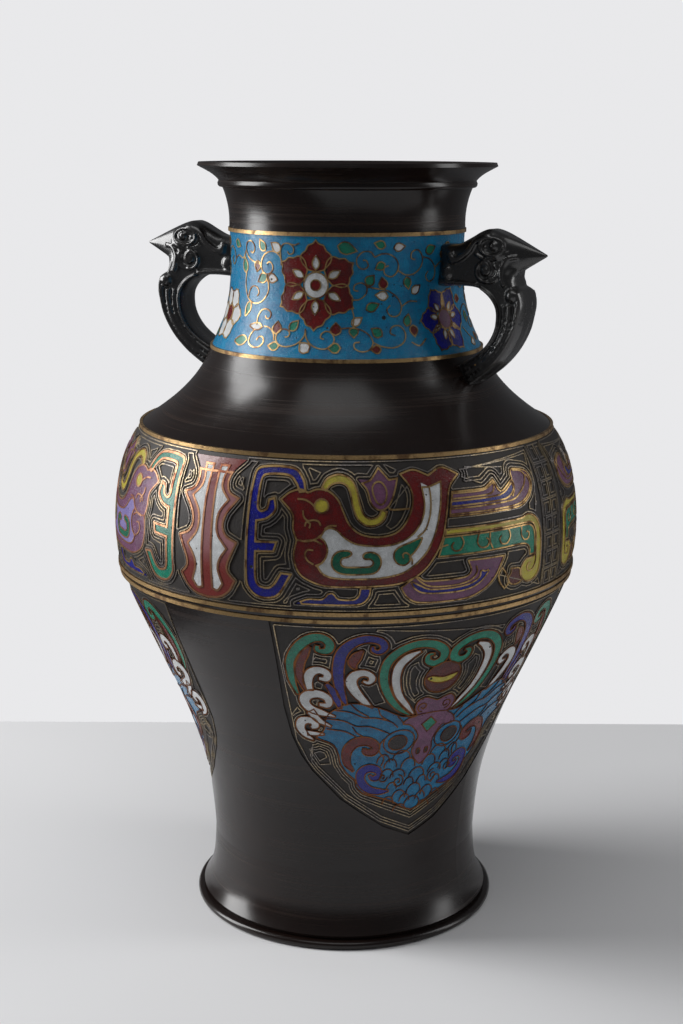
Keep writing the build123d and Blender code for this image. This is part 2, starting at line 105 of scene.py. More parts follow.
def wrap(mesh, reference, turn=0.0):
    """Bend a flat drawing round the vase: x is distance round it at the reference radius,
    y is height and z stands out from the surface, all in millimetres."""
    points = np.zeros(len(mesh.vertices) * 3)
    mesh.vertices.foreach_get("co", points)
    points = points.reshape(-1, 3)
    angle = points[:, 0] / reference + radians(turn)
    radius = radius_at(points[:, 1]) + points[:, 2]
    placed = np.column_stack((radius * np.sin(angle), -radius * np.cos(angle), points[:, 1]))
    mesh.vertices.foreach_set("co", (placed * MM).ravel())
    mesh.update()


# Outlines ------------------------------------------------------------------------

def smooth(points, closed=True, steps=5):
    """A rounded path through the given points; a third value marks a sharp corner."""
    count = len(points)
    spans = count if closed else count - 1
    path = []
    for i in range(spans):
        p1 = Vector(points[i][:2])
        p2 = Vector(points[(i + 1) % count][:2])
        before = points[(i - 1) % count] if closed or i > 0 else None
        after = points[(i + 2) % count] if closed or i + 2 < count else None
        sharp1 = len(points[i]) > 2 or before is None
        sharp2 = len(points[(i + 1) % count]) > 2 or after is None
        m1 = (p2 - p1) if sharp1 else (p2 - Vector(before[:2])) * 0.5
        m2 = (p2 - p1) if sharp2 else (Vector(after[:2]) - p1) * 0.5
        span = (p2 - p1).length
        for m in (m1, m2):
            if m.length > span * 1.4:
                m *= span * 1.4 / m.length
        number = max(1, min(steps, round(span / 0.7)))
        if sharp1 and sharp2:
            number = 1
        for k in range(number):
            t = k / number
            h1 = 2 * t ** 3 - 3 * t ** 2 + 1
            h2 = t ** 3 - 2 * t ** 2 + t
            h3 = -2 * t ** 3 + 3 * t ** 2
            h4 = t ** 3 - t ** 2
            path.append(p1 * h1 + m1 * h2 + p2 * h3 + m2 * h4)
    if not closed:
        path.append(Vector(points[-1][:2]))
    return path


def scroll(points, widths):
    """The closed outline of a tapered scroll along a centre line, with a half-width at each
    of its points."""
    line = smooth(points, closed=False)
    stations = np.linspace(0, 1, len(widths))
    places = np.linspace(0, 1, len(line))
    half = np.interp(places, stations, widths)
    left = []
    right = []
    for i, here in enumerate(line):
        ahead = line[min(i + 1, len(line) - 1)] - line[max(i - 1, 0)]
        across = Vector((-ahead.y, ahead.x)).normalized() * half[i]
        left.append(here + across)
        right.append(here - across)
    return left + right[::-1]


def ellipse(x, y, across, up, count=20):
    return [Vector((x + across * cos(tau * i / count), y + up * sin(tau * i / count)))
            for i in range(count)]


def spiral(x, y, outer, inner, start, turns, count=22):
    """An open spiral line, angles in turns, anticlockwise when turns is positive."""
    line = []
    for i in range(count):
        share = i / (count - 1)
        angle = tau * (start + turns * share)
        reach = outer + (inner - outer) * share
        line.append(Vector((x + reach * cos(angle), y + reach * sin(angle))))
    return line


def mirrored(path, axis=None):
    """The path's mirror image across a vertical line, or a leaning one given by a function."""
    if axis is None:
        return [Vector((-p.x, p.y)) for p in path][::-1]
    return [Vector((2 * axis(p.y) - p.x, p.y)) for p in path][::-1]


# Meshes ----------------------------------------------------------------------------

def new_object(mesh, name):
    piece = bpy.data.objects.new(name, mesh)
    bpy.context.scene.collection.objects.link(piece)
    return piece


def settle(piece, material, stands_for=()):
    """Give a finished piece its material and body, and hide the model's nodes it stands for."""
    piece.data.materials.clear()
    piece.data.materials.append(material)
    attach(piece, "root")
    if stands_for:
        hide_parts(*stands_for)
    return piece


def shade_smooth(mesh, angle=35.0):
    mesh.shade_smooth()
    mesh.set_sharp_from_angle(angle=radians(angle))


def flat_slabs(outlines, top, bottom, cut_x=2.0, cut_y=3.0):
    """Closed slabs of the outlines' shape, cut finely enough to bend round the vase."""
    bm = bmesh.new()
    for outline in outlines:
        corners = []
        for p in outline:
            if not corners or (Vector((p.x, p.y, top)) - corners[-1].co).length > 0.05:
                corners.append(bm.verts.new((p.x, p.y, top)))
        if (corners[0].co - corners[-1].co).length <= 0.05:
            bm.verts.remove(corners.pop())
        bm.faces.new(corners)
    bmesh.ops.recalc_face_normals(bm, faces=bm.faces)
    for face in bm.faces:
        if face.normal.z < 0:
            face.normal_flip()
    bmesh.ops.triangulate(bm, faces=bm.faces[:], quad_method="BEAUTY", ngon_method="BEAUTY")
    xs = [v.co.x for v in bm.verts]
    ys = [v.co.y for v in bm.verts]
    for low, high, step, normal in ((min(xs), max(xs), cut_x, (1, 0, 0)),
                                    (min(ys), max(ys), cut_y, (0, 1, 0))):
        place = (low // step + 1) * step
        while place < high:
            bmesh.ops.bisect_plane(bm, geom=bm.verts[:] + bm.edges[:] + bm.faces[:],
                                   plane_co=Vector(normal) * place, plane_no=normal, dist=1e-4)
            place += step
    lid = bm.faces[:]
    made = bmesh.ops.extrude_face_region(bm, geom=lid, use_keep_orig=True)
    lower = [item for item in made["geom"] if isinstance(item, bmesh.types.BMVert)]
    bmesh.ops.translate(bm, verts=lower, vec=(0, 0, bottom - top))
    bmesh.ops.recalc_face_normals(bm, faces=bm.faces)
    return bm


def copies_of(bm, name, reference, places):
    """Wrap a flat mesh round the vase at each (turn, flipped) place, as one object."""
    whole = bmesh.new()
    for turn, flipped in places:
        one = bm.copy()
        if flipped:
            bmesh.ops.scale(one, verts=one.verts, vec=(-1, 1, 1))
            bmesh.ops.reverse_faces(one, faces=one.faces)
        mesh = bpy.data.meshes.new("part")
        one.to_mesh(mesh)
        one.free()
        wrap(mesh, reference, turn)
        whole.from_mesh(mesh)
        bpy.data.meshes.remove(mesh)
    bm.free()
    finished = bpy.data.meshes.new(name)
    whole.to_mesh(finished)
    whole.free()
    return finished


def fill(name, outlines, material, reference, places, top, bottom=-0.9, stands_for=()):
    """Enamel of one colour in its cells."""
    mesh = copies_of(flat_slabs(outlines, top, bottom), name, reference, places)
    shade_smooth(mesh)
    return settle(new_object(mesh, name), material, stands_for)


def bar_section(width, height, shoulder=0.78):
    """A closed bar section that the paths carry round: flat top, sloping sides."""
    curve = bpy.data.curves.new("section", "CURVE")
    curve.dimensions = "2D"
    spline = curve.splines.new("POLY")
    corners = ((-0.5, -1), (0.5, -1), (0.5 * shoulder, 0), (-0.5 * shoulder, 0))
    spline.points.add(len(corners) - 1)
    for point, (x, y) in zip(spline.points, corners):
        point.co = (x * width, y * height, 0, 1)
    spline.use_cyclic_u = True
    return new_object(curve, "section")


def line_mesh(paths, width, height):
    """Bars of the given section along flat paths, each a (points, closed) pair."""
    section = bar_section(width, height)
    curve = bpy.data.curves.new("lines", "CURVE")
    curve.dimensions = "2D"
    curve.bevel_mode = "OBJECT"
    curve.bevel_object = section
    curve.use_fill_caps = True
    for points, closed in paths:
        spline = curve.splines.new("POLY")
        spline.points.add(len(points) - 1)
        for point, p in zip(spline.points, points):
            point.co = (p.x, p.y, 0, 1)
        spline.use_cyclic_u = closed
    holder = new_object(curve, "lines")
    bpy.context.view_layer.update()
    mesh = bpy.data.meshes.new_from_object(holder.evaluated_get(
        bpy.context.evaluated_depsgraph_get()))
    bm = bmesh.new()
    bm.from_mesh(mesh)
    bmesh.ops.remove_doubles(bm, verts=bm.verts, dist=1e-4)
    bmesh.ops.recalc_face_normals(bm, faces=bm.faces)
    for spare in (holder, section):
        data = spare.data
        bpy.data.objects.remove(spare)
        bpy.data.curves.remove(data)
    bpy.data.meshes.remove(mesh)
    return bm


# Cosine of the turn past which a corner counts as a hairpin
SHARPEST = -0.45


def even(path, closed, gap=0.5, longest=3.0):
    """The path with its points neither crowded nor far apart, and without hairpin turns."""
    kept = [path[0]]
    for p in path[1:]:
        if (p - kept[-1]).length >= gap:
            kept.append(p)
    if closed and (kept[0] - kept[-1]).length < gap:
        kept.pop()
    sharp = True
    while sharp and len(kept) > 3:
        sharp = False
        for i in range(0 if closed else 1, len(kept) if closed else len(kept) - 1):
            arrive = kept[i] - kept[i - 1]
            leave = kept[(i + 1) % len(kept)] - kept[i]
            if arrive.dot(leave) < SHARPEST * arrive.length * leave.length:
                kept.pop(i)
                sharp = True
                break
    if len(kept) < 4 and closed:
        return []
    ends = kept[1:] + kept[:1] if closed else kept[1:]
    path = []
    for here, there in zip(kept, ends):
        steps = max(1, round((there - here).length / longest))
        path += [here.lerp(there, k / steps) for k in range(steps)]
    return path if closed else path + kept[-1:]


def wires(name, paths, material, reference, places, width=0.85, top=0.0, height=0.9,
          stands_for=()):
    """Cell walls or drawn lines standing on the surface."""
    tidy = [(even(points, closed), closed) for points, closed in paths]
    bm = line_mesh([(points, closed) for points, closed in tidy if len(points) > 2], width, height)
    bmesh.ops.translate(bm, verts=bm.verts, vec=(0, 0, top))
    mesh = copies_of(bm, name, reference, places)
    shade_smooth(mesh, 50)
    return settle(new_object(mesh, name), material, stands_for)


# Key fret -----------------------------------------------------------------------------

def signed_distances(points, outlines, bounds):
    """Distance from each point to the nearest outline or side, negative inside an outline."""
    nearest = np.full(len(points), 1e9)
    inside = np.zeros(len(points), bool)
    for outline in outlines:
        corners = np.array([(p.x, p.y) for p in outline])
        ends = np.roll(corners, -1, axis=0)
        low = corners.min(0) - 12
        high = corners.max(0) + 12
        close = np.where(((points > low) & (points < high)).all(1))[0]
        if not len(close):
            continue
        here = points[close]
        best = np.full(len(here), 1e9)
        crossed = np.zeros(len(here), bool)
        for a, b in zip(corners, ends):
            along = b - a
            length = max(float(along @ along), 1e-9)
            t = np.clip(((here - a) @ along) / length, 0, 1)
            away = here - (a + t[:, None] * along)
            best = np.minimum(best, (away ** 2).sum(1))
            if a[1] != b[1]:
                spans = (a[1] > here[:, 1]) != (b[1] > here[:, 1])
                at = a[0] + (here[:, 1] - a[1]) / (b[1] - a[1]) * along[0]
                crossed ^= spans & (here[:, 0] < at)
        nearest[close] = np.minimum(nearest[close], np.sqrt(best))
        inside[close] |= crossed
    nearest[inside] *= -1
    for side, sign, index in bounds:
        nearest = np.minimum(nearest, sign * (points[:, index] - side))
    return nearest


def fret_paths(outlines, low, high, bounds, pitch, step, first, last=26.0, shield=None):
    """Nested lines at equal distances from the motifs, and from the shield's edge where there
    is one: the contour lines of a distance field, cut from a grid."""
    bm = bmesh.new()
    across = high[0] - low[0]
    up = high[1] - low[1]
    bmesh.ops.create_grid(bm, x_segments=round(across / step), y_segments=round(up / step),
                          size=0.5)
    bmesh.ops.scale(bm, verts=bm.verts, vec=(across, up, 1))
    bmesh.ops.translate(bm, verts=bm.verts, vec=((low[0] + high[0]) / 2, (low[1] + high[1]) / 2, 0))
    places = np.array([(v.co.x, v.co.y) for v in bm.verts])
    distances = signed_distances(places, outlines, bounds)
    if shield:
        distances = np.minimum(distances, -signed_distances(places, [shield], ()))
    for vertex, distance in zip(bm.verts, distances):
        vertex.co.z = distance
    bmesh.ops.triangulate(bm, faces=bm.faces)
    lines = bmesh.new()
    level = first
    while level < last:
        cut = bmesh.ops.bisect_plane(bm, geom=bm.verts[:] + bm.edges[:] + bm.faces[:],
                                     plane_co=(0, 0, level), plane_no=(0, 0, 1), clear_inner=True)
        edges = [item for item in cut["geom_cut"] if isinstance(item, bmesh.types.BMEdge)]
        if not edges:
            break
        known = {}
        for edge in edges:
            ends = []
            for vertex in edge.verts:
                if vertex not in known:
                    known[vertex] = lines.verts.new((vertex.co.x, vertex.co.y, 0))
                ends.append(known[vertex])
            lines.edges.new(ends)
        level += pitch
    bm.free()
    bmesh.ops.smooth_vert(lines, verts=lines.verts, factor=0.5, use_axis_x=True, use_axis_y=True)
    bmesh.ops.dissolve_limit(lines, angle_limit=radians(9), verts=lines.verts,
                             edges=lines.edges)
    return chains(lines)


def chains(lines):
    """Join loose edges end to end into open and closed paths."""
    paths = []
    unused = set(lines.edges)
    starts = [v for v in lines.verts if len(v.link_edges) == 1] + lines.verts[:]
    for start in starts:
        for edge in start.link_edges:
            if edge not in unused:
                continue
            points = [start.co.xy.copy()]
            here = start
            while edge is not None:
                unused.discard(edge)
                here = edge.other_vert(here)
                points.append(here.co.xy.copy())
                edge = next((e for e in here.link_edges if e in unused), None)
            closed = (points[0] - points[-1]).length < 1e-5
            if closed:
                points.pop()
            if len(points) > 2:
                paths.append((points, closed))
    lines.free()
    return paths


# Finishes ---------------------------------------------------------------------------

class Value:
    """A number that varies over a surface; Python's operators add Math nodes."""

    def __init__(self, finish, socket):
        self.finish = finish
        self.socket = socket

    def math(self, operation, first, second=None):
        sockets = {0: first} if second is None else {0: first, 1: second}
        node = self.finish.node("ShaderNodeMath", {"operation": operation}, sockets)
        return Value(self.finish, node.outputs[0])

    def __add__(self, other):
        return self.math("ADD", self, other)

    def __radd__(self, other):
        return self.math("ADD", other, self)

    def __sub__(self, other):
        return self.math("SUBTRACT", self, other)

    def __rsub__(self, other):
        return self.math("SUBTRACT", other, self)

    def __mul__(self, other):
        return self.math("MULTIPLY", self, other)

    def __rmul__(self, other):
        return self.math("MULTIPLY", other, self)

    def __lt__(self, other):
        return self.math("LESS_THAN", self, other)

    def between(self, low, high):
        """0 below low, 1 above high and a soft step in between."""
        node = self.finish.node("ShaderNodeMapRange", {"interpolation_type": "SMOOTHSTEP"},
                                {"Value": self, "From Min": low, "From Max": high})
        return Value(self.finish, node.outputs[0])


class Finish:
    """A procedural material around one Principled shader."""

    def __init__(self, name):
        self.material = bpy.data.materials.new(name)
        self.material.use_nodes = True
        self.tree = self.material.node_tree
        self.shader = self.tree.nodes["Principled BSDF"]
        self.place = self.node("ShaderNodeTexCoord").outputs["Object"]

    def node(self, kind, settings=None, sockets=None):
        made = self.tree.nodes.new(kind)
        for key, value in (settings or {}).items():
            setattr(made, key, value)
        for key, value in (sockets or {}).items():
            self.feed(made.inputs[key], value)
        return made

    def feed(self, socket, value):
        value = value.socket if isinstance(value, Value) else value
        if isinstance(value, bpy.types.NodeSocket):
            self.tree.links.new(value, socket)
        else:
            socket.default_value = value

    def stretched(self, across, up):
        """The place scaled differently round the vase and up it."""
        return self.node("ShaderNodeMapping", None, {
            "Vector": self.place, "Scale": (across, across, up)}).outputs[0]

    def noise(self, scale, detail=2.0, rough=0.5, place=None):
        made = self.node("ShaderNodeTexNoise", None, {
            "Vector": place or self.place, "Scale": scale, "Detail": detail, "Roughness": rough})
        return Value(self, made.outputs[0])

    def spots(self, scale, size, share):
        """Round spots: 1 inside a spot. size is a share of the cell, share how many cells."""
        cell = self.node("ShaderNodeTexVoronoi", None, {"Vector": self.place, "Scale": scale})
        tint = self.node("ShaderNodeSeparateColor", None, {"Color": cell.outputs["Color"]})
        chosen = Value(self, tint.outputs[0]) < share
        uneven = Value(self, tint.outputs[1]) * size
        return (1 - (Value(self, cell.outputs["Distance"]) - uneven).between(0.0, 0.03)) * chosen

    def mix(self, amount, low, high):
        made = self.node("ShaderNodeMix", {"data_type": "RGBA"})
        self.feed(made.inputs["Factor"], amount)
        self.feed(made.inputs[6], low if not isinstance(low, tuple) else (*low, 1))
        self.feed(made.inputs[7], high if not isinstance(high, tuple) else (*high, 1))
        return made.outputs[2]

    def bump(self, height, distance, strength=1.0):
        return self.node("ShaderNodeBump", None, {
            "Height": height, "Distance": distance, "Strength": strength}).outputs[0]

    def set(self, **sockets):
        for key, value in sockets.items():
            name = key.replace("_", " ")
            if isinstance(value, tuple):
                value = (*value, 1)
            self.feed(self.shader.inputs[name], value)
        return self.material


def shade(colour, factor):
    return tuple(channel * factor for channel in colour)


def enamel_finish(name, colour, second):
    """Opaque fired enamel: mottled, a little uneven, with open pits and dark specks."""
    finish = Finish(name)
    cloud = finish.noise(300, 4, 0.65).between(0.34, 0.66)
    grain = finish.noise(2300, 2, 0.6).between(0.35, 0.7)
    pits = finish.spots(165, 0.13, 0.34)
    specks = finish.spots(430, 0.16, 0.30)
    base = finish.mix(cloud * 0.85, colour, second)
    base = finish.mix(grain * 0.4, base, shade(second, 0.6))
    holes = (pits + specks * 0.75).between(0.0, 1.0)
    base = finish.mix(holes, base, (0.008, 0.006, 0.006))
    rough = 0.16 + cloud * 0.12 + grain * 0.1 + holes * 0.45
    relief = finish.noise(800, 3, 0.6) * 0.5 - holes * 1.2 + grain * 0.25
    return finish.set(Base_Color=base, Roughness=rough, Normal=finish.bump(relief, 0.00016),
                      Coat_Weight=0.1, Coat_Roughness=0.1, Specular_IOR_Level=0.4)


def brass_finish(name, bright, dark, wear=0.5, roughness=0.34):
    """Brass worn bright on some stretches and left brown on others."""
    finish = Finish(name)
    patches = finish.noise(170, 4, 0.6).between(0.62 - wear * 0.3, 0.80 - wear * 0.3)
    fine = finish.noise(1500, 2, 0.6).between(0.4, 0.75)
    base = finish.mix(patches, bright, dark)
    base = finish.mix(fine * 0.35, base, shade(dark, 0.5))
    rough = roughness + patches * 0.15 + fine * 0.12
    return finish.set(Base_Color=base, Roughness=rough, Metallic=0.9,
                      Normal=finish.bump(finish.noise(1200, 2, 0.5), 0.00005))


def bronze_finish(name, colour, warm, roughness=0.2):
    """Dark patinated bronze, turned on a lathe: fine rings, clouds and brass specks."""
    finish = Finish(name)
    rings = finish.noise(1.0, 3, 0.75, finish.stretched(9, 1500))
    wide_rings = finish.noise(1.0, 2, 0.6, finish.stretched(5, 210))
    clouds = finish.noise(24, 4, 0.6).between(0.35, 0.7)
    specks = finish.spots(95, 0.035, 0.10)
    wear = (rings * 0.5 + wide_rings * 0.5).between(0.50, 0.66)
    base = finish.mix(clouds * 0.6, colour, shade(colour, 0.55))
    base = finish.mix(wear * 0.5, base, warm)
    base = finish.mix(specks, base, (0.45, 0.28, 0.11))
    rough = roughness + wear * 0.07 + clouds * 0.08
    relief = rings * 0.6 + wide_rings * 0.5
    return finish.set(Base_Color=base, Roughness=rough, Metallic=0.0,
                      Normal=finish.bump(relief, 0.00005, 0.5),
                      Specular_IOR_Level=0.4)


def cast_finish(name, colour, roughness=0.26):
    """Cast and chased bronze, black in the hollows, and lighter grey on the high places for rubbed
    wear and as a painted highlight.
    """
    finish = Finish(name)
    # Pointiness: the high places are lightened for wear and as a painted highlight, and the hollows
    # are darkened.
    rubbed = Value(finish, finish.node("ShaderNodeNewGeometry").outputs["Pointiness"])
    high = rubbed.between(0.50, 0.62)
    low = 1 - rubbed.between(0.40, 0.50)
    punched = finish.noise(1400, 2, 0.7)
    clouds = finish.noise(120, 3, 0.6).between(0.4, 0.7)
    specks = finish.spots(160, 0.05, 0.10)
    base = finish.mix(clouds, colour, shade(colour, 0.6))
    # Painted highlight and wear: the high places are mixed towards grey.
    base = finish.mix(high * 0.45, base, (0.09, 0.08, 0.075))
    base = finish.mix(low, base, (0.004, 0.0035, 0.003))
    base = finish.mix(specks, base, (0.5, 0.28, 0.08))
    rough = roughness + clouds * 0.1 + low * 0.3
    relief = punched * 0.5 + finish.noise(500, 2, 0.5) * 0.6
    return finish.set(Base_Color=base, Roughness=rough, Metallic=0.2,
                      Normal=finish.bump(relief, 0.0001, 0.7), Specular_IOR_Level=0.9,
                      Coat_Weight=0.4, Coat_Roughness=0.1)


def ridge_finish(name):
    """Ridges of the key fret: black bronze rubbed through to brass along the tops."""
    finish = Finish(name)
    rubbed = finish.noise(95, 4, 0.7).between(0.34, 0.62)
    fine = finish.noise(1300, 3, 0.7).between(0.38, 0.66)
    base = finish.mix(rubbed, (0.46, 0.36, 0.22), (0.22, 0.20, 0.19))
    base = finish.mix(fine * 0.5, base, (0.035, 0.03, 0.028))
    return finish.set(Base_Color=base, Roughness=0.34 + fine * 0.2, Metallic=0.85,
                      Normal=finish.bump(finish.noise(1500, 2, 0.6), 0.00008))


def pit_finish(name):
    """The black floor between the ridges, with a little green where wax has gathered."""
    finish = Finish(name)
    patches = finish.spots(26, 0.10, 0.10) * finish.noise(900, 3, 0.7).between(0.45, 0.6)
    base = finish.mix(finish.noise(400, 3, 0.6), (0.012, 0.010, 0.010), (0.03, 0.024, 0.02))
    base = finish.mix(patches, base, (0.22, 0.42, 0.36))
    return finish.set(Base_Color=base, Roughness=0.55, Metallic=0.3,
                      Normal=finish.bump(finish.noise(1500, 2, 0.6), 0.0001))


def axe_finish(name, red, pink):
    """Enamel fired red at the ends and fading to pink in the middle."""
    finish = Finish(name)
    height = finish.node("ShaderNodeSeparateXYZ", None, {"Vector": finish.place}).outputs["Z"]
    height = Value(finish, height)
    upper = height.between(0.186, 0.196)
    lower = 1 - height.between(0.160, 0.172)
    cloud = finish.noise(300, 4, 0.6).between(0.35, 0.7)
    pits = finish.spots(230, 0.11, 0.5)
    base = finish.mix((upper + lower) * 0.9, pink, red)
    base = finish.mix(cloud * 0.35, base, shade(red, 0.7))
    base = finish.mix(pits, base, (0.012, 0.01, 0.009))
    return finish.set(Base_Color=base, Roughness=0.24 + cloud * 0.1 + pits * 0.4,
                      Normal=finish.bump(cloud * 0.3 - pits, 0.0001),
                      Coat_Weight=0.25, Coat_Roughness=0.12)


def plain_finish(name, colour):
    """The studio's matt paper."""
    finish = Finish(name)
    base = finish.mix(finish.noise(3, 3, 0.5) * 0.3, colour, shade(colour, 0.96))
    return finish.set(Base_Color=base, Roughness=0.7)


COLOURS = {
    "azure": ((0.004, 0.21, 0.40), (0.004, 0.13, 0.28)),
    "feather": ((0.004, 0.17, 0.34), (0.004, 0.09, 0.20)),
    "cobalt": ((0.008, 0.010, 0.25), (0.005, 0.006, 0.13)),
    "green": ((0.006, 0.16, 0.085), (0.004, 0.08, 0.045)),
    "jade": ((0.010, 0.23, 0.14), (0.005, 0.13, 0.08)),
    "red": ((0.15, 0.008, 0.008), (0.075, 0.005, 0.005)),
    "brown": ((0.10, 0.018, 0.014), (0.06, 0.010, 0.010)),
    "yellow": ((0.52, 0.45, 0.055), (0.36, 0.29, 0.04)),
    "mauve": ((0.19, 0.075, 0.15), (0.11, 0.045, 0.09)),
    "lavender": ((0.26, 0.22, 0.46), (0.17, 0.13, 0.33)),
    "white": ((0.66, 0.68, 0.69), (0.46, 0.47, 0.47)),
    "iris": ((0.018, 0.010, 0.009), (0.010, 0.006, 0.006)),
}
made_finishes = {}


BRASSES = {
    "gilt": ("gilt_line", (0.50, 0.33, 0.15), (0.17, 0.10, 0.05)),
    "wire": ("brass_cell_wall", (0.50, 0.33, 0.14), (0.13, 0.065, 0.028), 0.6),
    "copper_wire": ("copper_cell_wall", (0.20, 0.075, 0.025), (0.10, 0.035, 0.015), 0.6, 0.42),
    "pale_wire": ("rubbed_cell_wall", (0.42, 0.22, 0.12), (0.20, 0.07, 0.04), 0.5),
}
OTHER_FINISHES = {
    "axe": (axe_finish, "axe_enamel", (0.16, 0.018, 0.012), (0.28, 0.13, 0.14)),
    "ridge": (ridge_finish, "fret_ridge"),
    "pit": (pit_finish, "fret_floor"),
    "bronze": (bronze_finish, "turned_bronze", (0.0095, 0.0050, 0.0040), (0.028, 0.015, 0.010)),
    "cast": (cast_finish, "cast_bronze", (0.012, 0.011, 0.011)),
}


def finish_for(name):
    """Each finish is made once and shared by its pieces."""
    if name not in made_finishes:
        if name in COLOURS:
            chosen = tuple(getattr(bpy.context.scene.vase_colours, name))
            made_finishes[name] = enamel_finish(f"{name}_enamel", chosen, COLOURS[name][1])
        elif name in BRASSES:
            made_finishes[name] = brass_finish(*BRASSES[name])
        else:
            make, *settings = OTHER_FINISHES[name]
            made_finishes[name] = make(*settings)
    return made_finishes[name]


# Belly motifs: distance round the belly from a motif axis and height, in millimetres ----

AXE_HALF = ((0.4, 149.7), (5.4, 150.6), (9.2, 153.3), (11.6, 157.4, 1), (8.9, 160.5), (9.0, 164),
            (12.4, 171.6, 1), (8.2, 173.6), (6.5, 177.3), (7.8, 182), (12.0, 187.4, 1),
            (8.0, 189.2), (6.7, 192.8), (8.0, 196.6), (12.0, 200.4, 1))
AXE_PANE = ((1.7, 198.0, 1), (5.4, 198.0, 1), (4.3, 193.5), (4.8, 190.2), (8.0, 186.6, 1),
            (4.7, 182), (3.9, 177.4), (4.9, 173.4), (8.5, 169.0, 1), (5.8, 165), (4.9, 161),
            (6.6, 155.6, 1), (4.4, 152.8), (2.2, 153.4, 1))
DRAGON = ((16.3, 158.5), (17.6, 155), (20.3, 152.8), (24.5, 152.4), (28.3, 154.3), (32.6, 161.8, 1),
          (29.2, 162.1, 1), (26.4, 157.5), (23.5, 156.1), (20.0, 158.2), (19.7, 169.4, 1),
          (26.4, 169.9, 1), (27.4, 173.2, 1), (19.7, 172.9, 1), (19.6, 180.4, 1), (23.5, 181.5),
          (26.4, 184.6), (25.8, 188.6, 1), (23.9, 188, 1), (23.4, 185), (21.2, 183.8),
          (19.8, 185.3), (19.9, 194), (21.4, 196.4), (30, 196.6), (33.3, 194.2),
          (35.0, 191.2, 1), (37, 191.5, 1), (35.9, 195.2), (31.9, 198.8), (21, 199), (17.1, 196.4))
BIRD = ((28.3, 188.4, 1), (31.3, 190.9), (35.2, 192), (38, 191.0, 1), (41.2, 192.2),
        (45.3, 191.7), (48.8, 188.8), (50.8, 184.5), (53, 180), (57, 176.8), (63, 175.8),
        (69, 177.1), (73, 181), (75.5, 187), (75.1, 192.5), (71.8, 197.1, 1), (77, 198.3),
        (82.6, 196.2, 1), (88.5, 198.5), (94.8, 195.9, 1), (90.2, 191.6), (88, 182.5),
        (85.8, 173.5), (81.8, 166.3), (77, 161.5), (70, 158.6), (60, 157.9), (46, 157.9),
        (38.5, 160.2), (35, 163.5), (33.7, 169), (34.6, 174.4, 1), (33.2, 178.5), (32.8, 183.6))
BIRD_BREAST = ((42.8, 175.6, 1), (44.4, 178.2), (46.3, 179), (48.5, 178.2), (51.5, 175.4),
               (55, 173.5), (60, 172.7), (66, 172.7), (71, 173.9), (75.3, 176.6), (78.5, 181),
               (79.9, 186.5), (79.3, 193.9, 1), (82.3, 192.4, 1), (87.2, 193.9, 1), (85.6, 184.5),
               (83.4, 176.5), (80.2, 170), (76.4, 165.8, 1), (71.5, 162.6), (64, 161),
               (56, 160.7), (48, 161), (44, 162.4), (41.9, 165.2, 1), (44.3, 167.6), (45.4, 171),
               (44.4, 174.2))
BIRD_WING = ((53.7, 169.9), (52.6, 171.0), (49.3, 170.8), (47.2, 168.9), (46.9, 165.8),
             (48.4, 163.5), (51.5, 162.5), (58, 162.4), (61.9, 163.1), (63.7, 166), (63.2, 168.9),
             (60.9, 170.4), (58.3, 170.2), (57.5, 169.0), (58.3, 168.0), (60.2, 167.9),
             (61.1, 166.6), (60.0, 165.3), (56, 165.1), (51.3, 165.2), (49.9, 166.6),
             (50.5, 168.3), (52.4, 168.8))
BIRD_LEAF = ((78.6, 175.3, 1), (77.6, 172.9), (75.6, 170.1), (74.1, 168.5), (73.8, 166.8),
             (72, 165.4), (69.7, 165.9), (68.3, 167.9), (68.4, 170.3), (70.3, 172.1), (74, 173.5))
CREST_LINE = ((43.6, 192.4), (45.6, 194.9), (49.3, 195.9), (52.6, 194.6), (54.3, 191.6),
              (55.3, 187), (56.8, 183), (59.4, 181.1), (62.2, 181.3), (64.1, 182.7), (65.1, 184.9))
CREST_WIDTHS = (0.9, 1.3, 1.35, 1.3, 1.25, 1.25, 1.3, 1.3, 1.3, 1.2, 1.0)
TULIP = ((56.2, 195.6, 1), (59.2, 192.2), (60.4, 188), (62, 185.9), (64.2, 185.2), (66.8, 186.7),
         (69, 191), (70.5, 195.7, 1), (67.3, 195.3, 1), (65.7, 197.2), (63.7, 199.3, 1),
         (61.9, 196.9), (60.6, 195.3, 1))
TULIP_HEART = ((61.4, 190.5), (61.2, 193.2), (62.7, 194.7), (64.6, 194.5), (66.1, 192.3),
               (66, 189.2), (64.6, 187.2), (62.8, 187.6))
UPPER_FEATHER = ((89.3, 181.6, 1), (119, 181.5), (126, 183.6), (129.7, 187.4), (130, 191),
                 (127.6, 193.8), (120.5, 194.9), (119.6, 191.6), (118.5, 191.2, 1),
                 (112.5, 188.2), (109.8, 192.6, 1), (105.5, 190.3), (102, 190.0), (91.0, 190.1, 1))
FEATHER_TOP = ((91.2, 189.5, 1), (103, 189.4), (106.6, 190.1), (109.6, 191.6, 1), (109.6, 189.6),
               (108, 188.1), (104, 187.7), (90.8, 187.7, 1))
FEATHER_MIDDLE = ((90.4, 186.8, 1), (109.5, 186.8), (114.3, 187.7), (118.7, 190.5, 1),
                  (119.3, 188.4), (117, 186.2), (113, 185.2), (89.9, 185.1, 1))
FEATHER_END = ((89.7, 184.2, 1), (117, 184.3), (122.6, 186.5), (126.2, 189.6), (127.7, 192.6, 1),
               (129.2, 190), (128.3, 186.7), (124.4, 183.7), (118, 182.3), (89.4, 182.3, 1))
